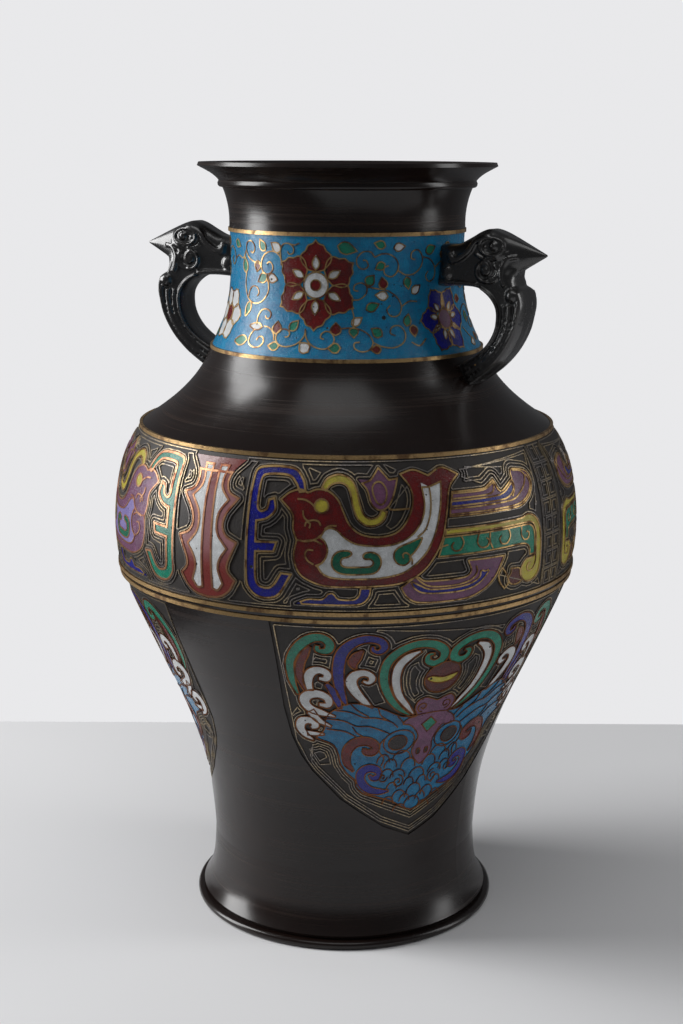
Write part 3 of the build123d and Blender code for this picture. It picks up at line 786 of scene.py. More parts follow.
TAIL_YELLOW = ((87.2, 175.3, 1), (87.4, 177.1, 1), (121, 177.1), (125.4, 178.1), (129.8, 176.1),
               (132, 171.4), (132.3, 163), (132, 156.6), (130.2, 153.5), (126.4, 152.3),
               (122.9, 153.4), (121.0, 156.3), (121.3, 159.1), (123.6, 161.3), (126.6, 161.5),
               (129.0, 163), (129.4, 168), (129.2, 172), (127.7, 174.5), (124.8, 175.2),
               (105, 175.3))
TAIL_GREEN = ((86.7, 174.4, 1), (110, 174.4), (124.4, 174.3), (127.5, 172.9), (128.4, 169.5),
              (128.3, 162.8, 1), (125.4, 162.8, 1), (125.3, 165.3), (123.6, 167.1), (119.4, 167.8),
              (100, 167.6), (84.4, 167.6, 1))
TAIL_BERRY = ((115.8, 159.1, 1), (120.0, 158.5), (120.8, 156), (122.2, 153.7, 1), (119.5, 152.5),
              (116, 153.1), (114.5, 155.4), (115.8, 157.5))
LOWER_FEATHER = ((70.9, 157.0, 1), (76.2, 160.6), (79.8, 158.9), (94.4, 158.9), (97.4, 161),
                 (96, 165, 1), (111.8, 164.7, 1), (107.7, 157), (101.7, 152.5), (94, 150.6),
                 (78, 150.9), (73.4, 153.1))
FEATHER_BLUE = ((74.2, 159.4, 1), (75.6, 156.7), (79.2, 154.5), (88, 153.8), (96, 154.2),
                (101.6, 156.4), (105.8, 161, 1), (103.5, 160.1), (101.2, 160.9, 1), (101.1, 158.4),
                (97.8, 156.4), (92, 155.5), (82, 155.6), (78, 157.2))
RIPPLE = ((34.3, 151.0, 1), (38.5, 152.8), (43.6, 153.0), (45.9, 155.3), (47.6, 154.9),
          (49.2, 153.1), (54.2, 152.9), (56.2, 154.4), (56.8, 157.1, 1), (60.2, 157.1, 1),
          (59.7, 154.2), (57.8, 151.8), (54.6, 151.0), (45, 150.9))
BERRY_LEAF = ((111.2, 160.2, 1), (113.6, 157), (114.6, 153.6), (113, 151.8, 1), (110.6, 154.5),
              (109.6, 158))
BELLY_MOTIFS = {"dragon": DRAGON, "bird": BIRD, "tulip": TULIP, "upper_feather": UPPER_FEATHER,
                "tail_yellow": TAIL_YELLOW, "tail_green": TAIL_GREEN, "tail_berry": TAIL_BERRY,
                "lower_feather": LOWER_FEATHER, "ripple": RIPPLE}
FRONT_BACK = ((0, False), (180, False))
MIRRORED_PAIR = ((0, True), (180, True))
FOUR = FRONT_BACK + MIRRORED_PAIR


def belly_outlines():
    """Every raised motif in one quarter of the belly, from the axe to the side axis."""
    half = smooth(AXE_HALF, closed=False)
    axe = half + mirrored(half)
    outlines = [smooth(points) for points in BELLY_MOTIFS.values()]
    return [axe, scroll(CREST_LINE, CREST_WIDTHS)] + outlines


def closed(*outlines):
    return [(outline, True) for outline in outlines]


def strokes(*lines):
    return [(smooth(line, closed=False), False) for line in lines]


def belly_fill(name, outlines, colour, places, level, stands_for=()):
    return fill(name, outlines, finish_for(colour),
                BELLY_REFERENCE, places, level, stands_for=stands_for)


ENAMEL_TOP = -0.24
LAYER = 0.05
WIRE_TOP = -0.03


def make_axes(sizes):
    half = smooth(AXE_HALF, closed=False)
    axe = half + mirrored(half)
    pane = smooth(AXE_PANE)
    panes = [pane, mirrored(pane)]
    belly_fill("axe_red_enamel", [axe], "axe", FRONT_BACK, ENAMEL_TOP, ["axe_enamels"])
    belly_fill("axe_white_enamel", panes, "white", FRONT_BACK, ENAMEL_TOP + LAYER)
    wires("axe_cell_walls", closed(axe, *panes), finish_for("pale_wire"),
          BELLY_REFERENCE, FRONT_BACK, sizes.wire_width * 1.15, WIRE_TOP)


def make_dragons(sizes):
    dragon = smooth(DRAGON)
    belly_fill("dragon_cobalt_enamel", [dragon], "cobalt", FRONT_BACK, ENAMEL_TOP,
               ["blue_dragon_enamels"])
    belly_fill("dragon_green_enamel", [dragon], "jade", MIRRORED_PAIR, ENAMEL_TOP,
               ["green_dragon_enamels"])
    wires("dragon_cell_walls", closed(dragon), finish_for("wire"),
          BELLY_REFERENCE, FRONT_BACK, sizes.wire_width * 1.1, WIRE_TOP)
    wires("green_dragon_cell_walls", closed(dragon), finish_for("pale_wire"),
          BELLY_REFERENCE, MIRRORED_PAIR, sizes.wire_width * 1.2, WIRE_TOP)


def make_birds(sizes):
    bird = smooth(BIRD)
    breast = smooth(BIRD_BREAST)
    wing = smooth(BIRD_WING)
    leaf = smooth(BIRD_LEAF)
    eye = ellipse(43, 186.6, 2.5, 2.4)
    lines = strokes(
        ((82.3, 192.4), (82.4, 188), (81.6, 182.4), (79.6, 177.6), (76.8, 175.3)),
        ((34.3, 188.8), (37, 188.6), (39.3, 187.5), (40.6, 186.3)),
        ((36.5, 184.9), (36.8, 182.9), (38.3, 181.4), (40.4, 181.7), (42.2, 181.2), (42.9, 179.8)),
        ((37.4, 179.4), (37.8, 180.9), (39.2, 180.4), (38.9, 178.8)),
        ((40.6, 165.9), (38.6, 167.2), (37.6, 169.2), (38.4, 171.1), (40.5, 171.0)),
        ((34.8, 174.5), (38.2, 174.1), (41.2, 175.0), (43.2, 176.6)),
        ((36.4, 174.1), (40.6, 174.6), (43.6, 173.2)),
        ((44.9, 168.6), (43.6, 166.6), (41.2, 165.4)),
        ((44.2, 178.6), (46.0, 179.8), (48.4, 179.8)),
        ((71.6, 168), (71.3, 169.3), (72.5, 169.9), (73.8, 168.9)),
        ((74.6, 165.4), (74.6, 167.4), (73.5, 168.4)))
    walls = closed(bird, breast, wing, leaf, eye) + lines
    for side, places, base, body in (("", FRONT_BACK, "red", "white"),
                                     ("far_", MIRRORED_PAIR, "mauve", "lavender")):
        stands = ["bird_enamels"] if not side else []
        belly_fill(f"{side}bird_{base}_enamel", [bird], base, places, ENAMEL_TOP, stands)
        belly_fill(f"{side}bird_{body}_enamel", [breast], body, places, ENAMEL_TOP + LAYER)
        wires(f"{side}bird_cell_walls", walls, finish_for("wire" if not side else "pale_wire"),
              BELLY_REFERENCE, places, sizes.wire_width * 0.85, WIRE_TOP)
    belly_fill("bird_green_enamel", [wing, leaf], "green", FOUR, ENAMEL_TOP + 2 * LAYER)
    belly_fill("bird_eye_enamel", [eye], "yellow", FOUR, ENAMEL_TOP + 2 * LAYER)


def make_crests(sizes):
    crest = scroll(CREST_LINE, CREST_WIDTHS)
    tulip = smooth(TULIP)
    heart = smooth(TULIP_HEART)
    belly_fill("crest_yellow_enamel", [crest], "yellow", FOUR, ENAMEL_TOP, ["crest_enamels"])
    belly_fill("tulip_mauve_enamel", [tulip], "mauve", FOUR, ENAMEL_TOP, ["tulip_enamels"])
    stem = strokes(((66.6, 186.3), (67.4, 185.3), (70.5, 185.2), (74.4, 185.4)))
    wires("crest_cell_walls", closed(crest, tulip, heart) + stem, finish_for("wire"),
          BELLY_REFERENCE, FOUR, sizes.wire_width * 0.85, WIRE_TOP)


def make_feathers(sizes):
    upper = smooth(UPPER_FEATHER)
    lower = smooth(LOWER_FEATHER)
    middle = smooth(FEATHER_MIDDLE)
    blue = smooth(FEATHER_BLUE)
    top = smooth(FEATHER_TOP)
    end = smooth(FEATHER_END)
    belly_fill("feather_ground", [upper, lower], "mauve", FOUR, ENAMEL_TOP - LAYER,
               ["upper_feather_enamels", "lower_feather_enamels"])
    belly_fill("feather_mauve_enamel", [top, end], "mauve", FOUR, ENAMEL_TOP)
    belly_fill("feather_cobalt_enamel", [middle, blue, smooth(RIPPLE)], "cobalt", FOUR,
               ENAMEL_TOP + LAYER, ["ripple_enamels"])
    inner = strokes(((76.2, 160.4), (79.6, 157.6), (84, 156.5), (92.6, 156.5), (97.6, 157.8),
                     (99.9, 160.4), (99.4, 162.6)),
                    ((121.2, 194.6), (125.6, 193.8), (127.9, 191.6)),
                    ((119.7, 191.2), (119.9, 188.5), (118.2, 185.7)))
    walls = closed(upper, lower, middle, blue, top, end, smooth(RIPPLE)) + inner
    wires("feather_cell_walls", walls, finish_for("wire"), BELLY_REFERENCE, FOUR,
          sizes.wire_width * 0.8, WIRE_TOP)


def make_tails(sizes):
    yellow = smooth(TAIL_YELLOW)
    green = smooth(TAIL_GREEN)
    berry = smooth(TAIL_BERRY)
    belly_fill("tail_yellow_enamel", [yellow], "yellow", FOUR, ENAMEL_TOP, ["tail_bar_enamels"])
    belly_fill("tail_green_enamel", [green], "jade", FOUR, ENAMEL_TOP)
    belly_fill("tail_brown_enamel", [berry], "brown", FOUR, ENAMEL_TOP)
    curls = strokes(
        ((93.3, 174.3), (94.2, 171.9), (92.9, 169.4), (90.5, 169.2), (89.4, 171.0), (90.4, 172.3)),
        ((100.6, 174.2), (99.9, 171.2), (101.5, 169.2), (104.2, 169.4), (105, 171.4), (103.8, 172.4)),
        ((114.4, 174.3), (115, 171.5), (113.3, 169.2), (110.9, 169.3), (109.8, 171.2), (110.8, 172.3)),
        ((121.2, 174.2), (120.8, 171.2), (122.4, 169.0), (124.7, 169.4), (125.0, 171.4),
         (123.7, 171.8)),
        ((129.2, 163.2), (129.2, 159.6), (127.9, 157.0), (125.6, 156.4), (124.2, 157.8),
         (124.9, 159.4), (126.4, 159.4)),
        ((105.6, 174.3), (105.4, 171), (106.6, 168)),
        ((88.0, 171.6), (86.0, 171.2), (84.2, 170.4)))
    wires("tail_cell_walls", closed(yellow, green, berry, smooth(BERRY_LEAF)) + curls,
          finish_for("wire"), BELLY_REFERENCE, FOUR, sizes.wire_width * 0.8, WIRE_TOP)


# Lappets: drawn flat about each shield's middle ----------------------------------------

LAPPET_TURNS = (60, 180, 300)
LAPPET_PLACES = tuple((turn, False) for turn in LAPPET_TURNS)
SHIELD_TOP = 142.6
SHIELD_TIP = 44.6
SHIELD_HALF = LOWER_REFERENCE * pi / 4 - 0.5
SHIELD_SHARES = ((1.0, 0.0, 1), (1.0, 0.2), (1.0, 0.38), (0.98, 0.52), (0.93, 0.61), (0.86, 0.68),
                 (0.76, 0.74), (0.64, 0.81), (0.48, 0.87), (0.26, 0.945), (0.0, 1.0, 1))
# Each scroll: colour, centre line, and half-width at each of its points.
LAPPET_SCROLLS = (
    ("jade", ((-49.3, 111.5), (-50.3, 118), (-49.2, 126), (-45.8, 132.4), (-41.5, 136.6),
              (-37.4, 137.4), (-35.2, 134.8), (-36.3, 131.7), (-39.3, 131.9), (-39.2, 134.1)),
     (0.6, 1.3, 1.7, 1.8, 1.8, 1.8, 1.7, 1.5, 1.3, 0.7)),
    ("red", ((-46.3, 113.3), (-47.3, 119), (-46.4, 125), (-43.8, 130.2), (-41.6, 133.3)),
     (0.5, 1.3, 1.7, 1.4, 0.4)),
    ("white", ((-44.6, 113.6), (-44.7, 118), (-43.0, 121.8), (-40, 123.1), (-37.6, 121.5),
               (-38.2, 119.1), (-40.8, 119.3)), (1.2, 1.7, 1.8, 1.7, 1.6, 1.4, 0.8)),
    ("white", ((-36.8, 101.8), (-42, 103.5), (-46.3, 105.6), (-47.5, 109), (-45.4, 111.6),
               (-41.5, 112.1), (-38.6, 110.0), (-39.2, 107.1), (-42.3, 107.3)),
     (0.4, 1.5, 1.9, 2.0, 2.0, 1.9, 1.7, 1.5, 0.8)),
    ("white", ((-46.2, 104.0), (-43.5, 99.9), (-39, 97.0)), (1.8, 1.4, 0.5)),
    ("white", ((-47.2, 90.2), (-50.3, 92.7), (-51.7, 96), (-50.1, 99.1), (-46.6, 99.4),
               (-45.1, 97.2), (-47.4, 96.0)), (0.4, 1.5, 1.9, 1.9, 1.7, 1.5, 0.8)),
    ("white", ((-49.3, 93.5), (-45.5, 93.3), (-42.3, 93.2)), (1.2, 1.0, 0.4)),
    ("cobalt", ((-32.2, 107.4), (-33.5, 112), (-34.0, 118), (-33.4, 125), (-31.6, 131),
                (-28.1, 135.1), (-23.6, 136.9), (-19.4, 135.8), (-18.1, 133), (-19.8, 131.0),
                (-21.9, 131.9), (-21.7, 133.6)),
     (0.5, 1.4, 1.8, 2.0, 2.0, 1.9, 1.7, 1.6, 1.5, 1.3, 1.0, 0.5)),
    ("cobalt", ((-38.4, 117.0), (-36.5, 113.5), (-35.3, 109.2), (-34.6, 105.6)),
     (0.8, 1.5, 1.4, 0.7)),
    ("red", ((-28.0, 123.9), (-28.6, 126.4), (-27.1, 129.4), (-25.0, 132.0)), (0.6, 1.8, 1.7, 0.4)),
    ("white", ((-22.4, 105.8), (-25.5, 108.9), (-28.5, 113.4), (-29.8, 117.8), (-28.0, 121.1),
               (-24.6, 121.8), (-22.3, 119.6), (-23.7, 117.4), (-25.7, 118.3)),
     (0.3, 1.4, 1.9, 2.1, 1.9, 1.6, 1.3, 1.2, 0.6)),
    ("jade", ((-7.6, 100.9), (-12.5, 104.9), (-16.5, 110.9), (-18.4, 118.5), (-17.2, 125.9),
              (-13, 131.0), (-7.5, 133.4), (-1.9, 132.8), (2.2, 129.7), (2.4, 126.1),
              (-0.4, 124.1), (-3.2, 125.4), (-3.1, 128.1), (-1.1, 128.4)),
     (0.4, 1.2, 1.6, 1.7, 1.7, 1.7, 1.7, 1.8, 1.8, 1.8, 1.6, 1.5, 1.1, 0.5)),
    ("white", ((-6.0, 101.2), (-9, 105.3), (-12.6, 110.8), (-14.1, 117.5), (-13.3, 123.8),
               (-10.2, 128.0), (-6, 130.3)), (0.4, 1.1, 1.5, 1.7, 1.7, 1.6, 0.5)),
    ("red", ((-31.5, 75.8), (-34.1, 80), (-33.5, 85.4), (-29.8, 89.3), (-24.6, 89.8),
             (-21.2, 87.2), (-22.4, 84.6), (-25.8, 84.8), (-25.9, 86.6)),
     (0.5, 1.7, 2.1, 2.1, 2.1, 2.0, 1.8, 1.5, 0.8)),
    ("cobalt", ((-14.5, 65.6), (-19, 65.6), (-24.4, 66.9), (-28.0, 70.6), (-27.8, 74.9),
                (-24.3, 77.0), (-20.2, 75.8), (-19.7, 72.9), (-22.7, 72.1), (-23.9, 73.8)),
     (0.4, 1.3, 1.8, 2.1, 2.1, 1.9, 1.8, 1.6, 1.3, 0.6)),
)
FEATHER_BASE = ((0, 101, 1), (-10, 100.5), (-19.5, 105.3), (-30, 108), (-37, 104.8), (-40.5, 101),
                (-42, 95.5), (-46, 91.3, 1), (-39.5, 88.5), (-37.5, 84), (-37.0, 79.5),
                (-34.5, 75), (-30.9, 71.5), (-30.4, 68.5), (-27, 65.2), (-20, 63.0),
                (-12.5, 60.5), (-6, 56.9), (0, 55.0, 1))
FACE_MASK = ((-9.9, 97), (-8, 99.3), (-4.5, 100.4), (-5.7, 103.5), (-4.9, 107), (-2, 108.6),
             (1, 107.6), (3.4, 106.6), (6, 107.7), (9.2, 108.2), (11.4, 105.6), (10.8, 102.2),
             (9.4, 100.2), (12.8, 97.8), (14.6, 94.4), (11.2, 93.6), (8.4, 93.8), (6, 90),
             (5, 86.5), (5.4, 83), (3.6, 79.2), (0.6, 76.6), (-2.4, 79.2), (-4.4, 83),
             (-3.6, 86.5), (-2.4, 90), (-4.2, 93.6), (-7, 96.2))
BALL = (0, 117.2, 7.2, 6.9)
BALL_GLEAM = ((-2.2, 117.2), (0.4, 115.4), (4.2, 114.6), (8.2, 115.6), (10.3, 118.2), (8.2, 118.0),
              (4.2, 117.2), (-0.2, 118.2))
# Rows of scales below the mask: middle, height, half-width and rise of each arc.
SCALES = ((-9.5, 82.5, 4.3, 2.8), (-14.3, 79, 3, 2.6), (-5.5, 78.5, 3.6, 2.8), (-10, 73.8, 3.8, 2.4),
          (0, 73.3, 4.2, 2.8), (-3.5, 69.6, 2.6, 2), (-8, 63.9, 3.6, 2.5), (0, 66, 4, 2.6),
          (-13.5, 61.5, 3, 2), (0, 60.2, 4.4, 2.2), (-7, 57.6, 3.6, 1.8), (-15.5, 74.5, 3.2, 2.4),
          (-4.6, 61.9, 2.8, 2.0), (-12.3, 68.2, 2.6, 2.0), (-18.0, 81.5, 3.0, 2.4))
FEATHER_LINES = (
    ((-37.5, 104.9), (-31, 103.9), (-26, 101.3), (-21, 100.8), (-15, 98.5), (-12, 95.5)),
    ((-30.5, 107.5), (-28, 104.5), (-24, 101.6)),
    ((-41.5, 100.8), (-34, 99.8), (-29, 97.2), (-24, 96.9), (-18, 94.3), (-15.2, 92.6)),
    ((-20.3, 105.2), (-19, 101.5), (-15, 98.5)),
    ((-41, 95.8), (-34, 94.8), (-29.5, 92.2)),
    ((-30.5, 96.7), (-29, 94), (-26.5, 92.2)),
    ((-12.5, 100.8), (-10.5, 98.5), (-9.6, 96.6)),
    ((-17.6, 90.4), (-19.2, 88.0), (-19.5, 84.6), (-17.4, 81.0), (-18.6, 77.6)),
)


def lean(height):
    """The drawing's middle line, which leans a little towards the top."""
    return 0.5 + 0.085 * (height - 80)


def shield_outline(inset=0.0):
    height = SHIELD_TOP - SHIELD_TIP - inset * 2.4
    right = [((SHIELD_HALF - inset) * share[0], SHIELD_TOP - inset - height * share[1], *share[2:])
             for share in SHIELD_SHARES]
    left = [(-x, *rest) for x, *rest in reversed(right[:-1])]
    return smooth(right + left)


def upright(path):
    """Slide a drawn path sideways so that its middle line stands straight."""
    return [Vector((p.x - lean(p.y), p.y)) for p in path]


def both_sides(path):
    """The path and its mirror image."""
    straight_path = upright(path)
    return [straight_path, mirrored(straight_path)]


def lappet_shapes():
    """Closed outlines by colour, already mirrored, in the order they lie on each other."""
    shapes = {}
    half_base = smooth(FEATHER_BASE, closed=False)
    half_base = [Vector((p.x - (0 if p.x == 0 else lean(p.y)), p.y)) for p in half_base]
    shapes["feather"] = [half_base + mirrored(half_base)[1:-1]]
    for colour, line, widths in LAPPET_SCROLLS:
        shapes.setdefault(colour, []).extend(both_sides(scroll(line, widths)))
    mask = upright(smooth(FACE_MASK))
    shapes["mauve"] = [mask]
    return shapes


def lappet_fill(name, outlines, colour, level, stands_for=()):
    return fill(name, outlines, finish_for(colour), LOWER_REFERENCE,
                LAPPET_PLACES, level, stands_for=stands_for)


def scale_arc(x, y, half, rise):
    """One scale: an arch open at the bottom."""
    return [Vector((x - half * cos(pi * i / 8), y - rise + rise * 1.6 * sin(pi * i / 8)))
            for i in range(9)]


def make_lappets(sizes):
    shapes = lappet_shapes()
    lappet_fill("lappet_azure_enamel", shapes["feather"], "feather", ENAMEL_TOP - LAYER,
                [f"lappet_panel_{number}" for number in (1, 2, 3)])
    names = {"jade": "green", "red": "red", "white": "white", "cobalt": "cobalt",
             "mauve": "mask"}
    for colour, word in names.items():
        lappet_fill(f"lappet_{word}_enamel", shapes[colour], colour, ENAMEL_TOP + LAYER)
    ball = ellipse(*BALL)
    gleam = [Vector((p.x - 4.1, p.y)) for p in smooth(BALL_GLEAM)]
    lappet_fill("lappet_ball_enamel", [ball], "brown", ENAMEL_TOP + LAYER)
    lappet_fill("lappet_gleam_enamel", [gleam], "yellow", ENAMEL_TOP + 2 * LAYER)
    eyes = [ellipse(side * 12.6, 88.2, 4.2, 3.5) for side in (-1, 1)]
    lids = [ellipse(side * 12.0, 88.4, 7.0, 5.7) for side in (-1, 1)]
    lappet_fill("lappet_eye_enamel", eyes, "iris", ENAMEL_TOP + 2 * LAYER)
    diamond = smooth(((0, 98.8, 1), (3.4, 95.6, 1), (0, 91.8, 1), (-3.4, 95.6, 1)))
    lappet_fill("lappet_diamond_enamel", [diamond], "jade", ENAMEL_TOP + 3 * LAYER)
    nostrils = [ellipse(side * 2.0, 82.9, 0.9, 1.5, 12) for side in (-1, 1)]
    lappet_fill("lappet_nostril_enamel", nostrils, "iris", ENAMEL_TOP + 3 * LAYER)
    outlines = [outline for group in shapes.values() for outline in group]
    walls = closed(*outlines, ball, gleam, *eyes, *lids, diamond, *nostrils)
    for line in FEATHER_LINES:
        walls += [(path, False) for path in both_sides(smooth(line, closed=False))]
    for x, y, half, rise in SCALES:
        arcs = [scale_arc(x, y, half, rise)]
        if x:
            arcs.append(scale_arc(-x, y, half, rise))
        walls += [(arc, False) for arc in arcs]
    for side in (-1, 1):
        walls.append((spiral(side * 9.5, 69.4, 3.2, 0.5, 0.25, side * 1.5, 18), False))
        walls.append((spiral(side * 5.0, 104.2, 2.4, 0.5, 0.75, side * 1.3, 16), False))
        walls.append((spiral(side * 17.4, 72.0, 2.3, 0.4, 0.0, side * 1.3, 16), False))
    wires("lappet_cell_walls", walls, finish_for("copper_wire"), LOWER_REFERENCE,
          LAPPET_PLACES, sizes.wire_width * 0.72, WIRE_TOP)


def make_lappet_fret(sizes):
    shield = shield_outline()
    fill("lappet_fret_floor", [shield_outline(-FLOOR_LAP)], finish_for("pit"),
         LOWER_REFERENCE, LAPPET_PLACES, FRET_FLOOR, FRET_FLOOR - 0.4,
         [f"lappet_frame_{number}" for number in (1, 2, 3)])
    shapes = lappet_shapes()
    outlines = [outline for group in shapes.values() for outline in group]
    outlines.append(ellipse(*BALL))
    reach = SHIELD_HALF + 2
    paths = fret_paths(outlines, (-reach, SHIELD_TIP - 2), (reach, SHIELD_TOP + 2), (),
                       sizes.fret_pitch, FRET_GRID, FRET_FIRST, shield=shield)
    wires("lappet_fret_ridges", paths, finish_for("ridge"), LOWER_REFERENCE,
          LAPPET_PLACES, sizes.fret_ridge, FRET_TOP, 0.6)


# Fret of the belly -----------------------------------------------------------------------

FRET_FLOOR = -0.5
FRET_TOP = -0.12
FRET_GRID = 0.4
FLOOR_LAP = 0.6
FLOOR_UNDERSIDE = -0.95
FLOOR_STEPS = (155, 162, 169, 176, 183, 190, 196)
UNDERSIDE_STEPS = (196, 183, 169, 155)
FRET_FIRST = 0.85
BAND_LOW = 148.0
BAND_HIGH = 201.9
QUARTER = BELLY_REFERENCE * pi / 2
COLUMN = 135.2


def make_belly_fret(sizes):
    """The black ground of the belly band, with its ridges following the motifs, and upright
    rows of squared spirals half way between the motifs."""
    ring = bmesh.new()
    face = [(z, FRET_FLOOR) for z in (BAND_LOW, *FLOOR_STEPS, BAND_HIGH)]
    underside = [(z, FLOOR_UNDERSIDE) for z in (BAND_HIGH, *UNDERSIDE_STEPS, BAND_LOW)]
    corners = [(radius_at([z])[0] + depth, z) for z, depth in face + underside]
    loop = [ring.verts.new((radius * MM, 0, z * MM)) for radius, z in corners]
    edges = [ring.edges.new((loop[i - 1], loop[i])) for i in range(len(loop))]
    bmesh.ops.spin(ring, geom=loop + edges, cent=(0, 0, 0), axis=(0, 0, 1), angle=tau, steps=288,
                   use_merge=True)
    bmesh.ops.remove_doubles(ring, verts=ring.verts, dist=1e-6)
    bmesh.ops.recalc_face_normals(ring, faces=ring.faces)
    mesh = bpy.data.meshes.new("belly_fret_floor")
    ring.to_mesh(mesh)
    ring.free()
    shade_smooth(mesh)
    settle(new_object(mesh, "belly_fret_floor"), finish_for("pit"),
           ["belly_fret_band"])
    outlines = belly_outlines()
    bounds = ((BAND_LOW - 0.35, 1, 1), (BAND_HIGH + 0.35, -1, 1), (COLUMN + 0.5, -1, 0))
    paths = fret_paths(outlines, (0, BAND_LOW), (COLUMN, BAND_HIGH), bounds, sizes.fret_pitch,
                       FRET_GRID, FRET_FIRST)
    paths += column_paths(sizes.fret_pitch)
    wires("belly_fret_ridges", paths, finish_for("ridge"), BELLY_REFERENCE,
          FOUR, sizes.fret_ridge, FRET_TOP, 0.6)


def column_paths(pitch):
    """Two squared spirals wide, stacked up the band beside the side axis."""
    paths = []
    width = QUARTER - COLUMN
    rows = 8
    height = (BAND_HIGH - BAND_LOW - 1.0) / rows
    for row in range(rows):
        low = BAND_LOW + 0.5 + row * height
        paths.append((square_spiral(COLUMN + 0.4, low + 0.3, width - 0.6, height - 0.6, pitch,
                                    row % 2 == 1), False))
    return paths


def square_spiral(x, y, width, height, pitch, from_top):
    """A line that turns inwards at right angles."""
    left, right, low, high = x, x + width, y, y + height
    line = [Vector((left, low))]
    while right - left > pitch * 0.9 and high - low > pitch * 0.9:
        line += [Vector((left, high)), Vector((right, high)), Vector((right, low)),
                 Vector((left + pitch, low))]
        left += pitch
        right -= pitch
        low += pitch
        high -= pitch
    if from_top:
        line = [Vector((p.x, 2 * y + height - p.y)) for p in line]
    return line


# Neck: drawn for half a turn and repeated on the other side ------------------------------

NECK_PLACES = ((0, False), (180, False))
NECK_LOW = 234.1
NECK_HIGH = 278.5
FLOWER = (15.0, 260.6)
BLUE_FLOWER = (68.5, 247.0)
WHITE_FLOWER = (116.5, 247.5)
# Half a petal, from the flower's middle outwards.
PETAL_HALF = ((0, 4.9, 1), (3.0, 5.6, 1), (5.6, 8.4), (5.9, 11.0), (4.0, 12.7, 1), (3.0, 14.6),
              (1.2, 15.3), (0, 16.6, 1))
SEED_HALF = ((0, 5.6), (1.1, 6.8), (1.3, 8.6), (0, 11.2, 1))
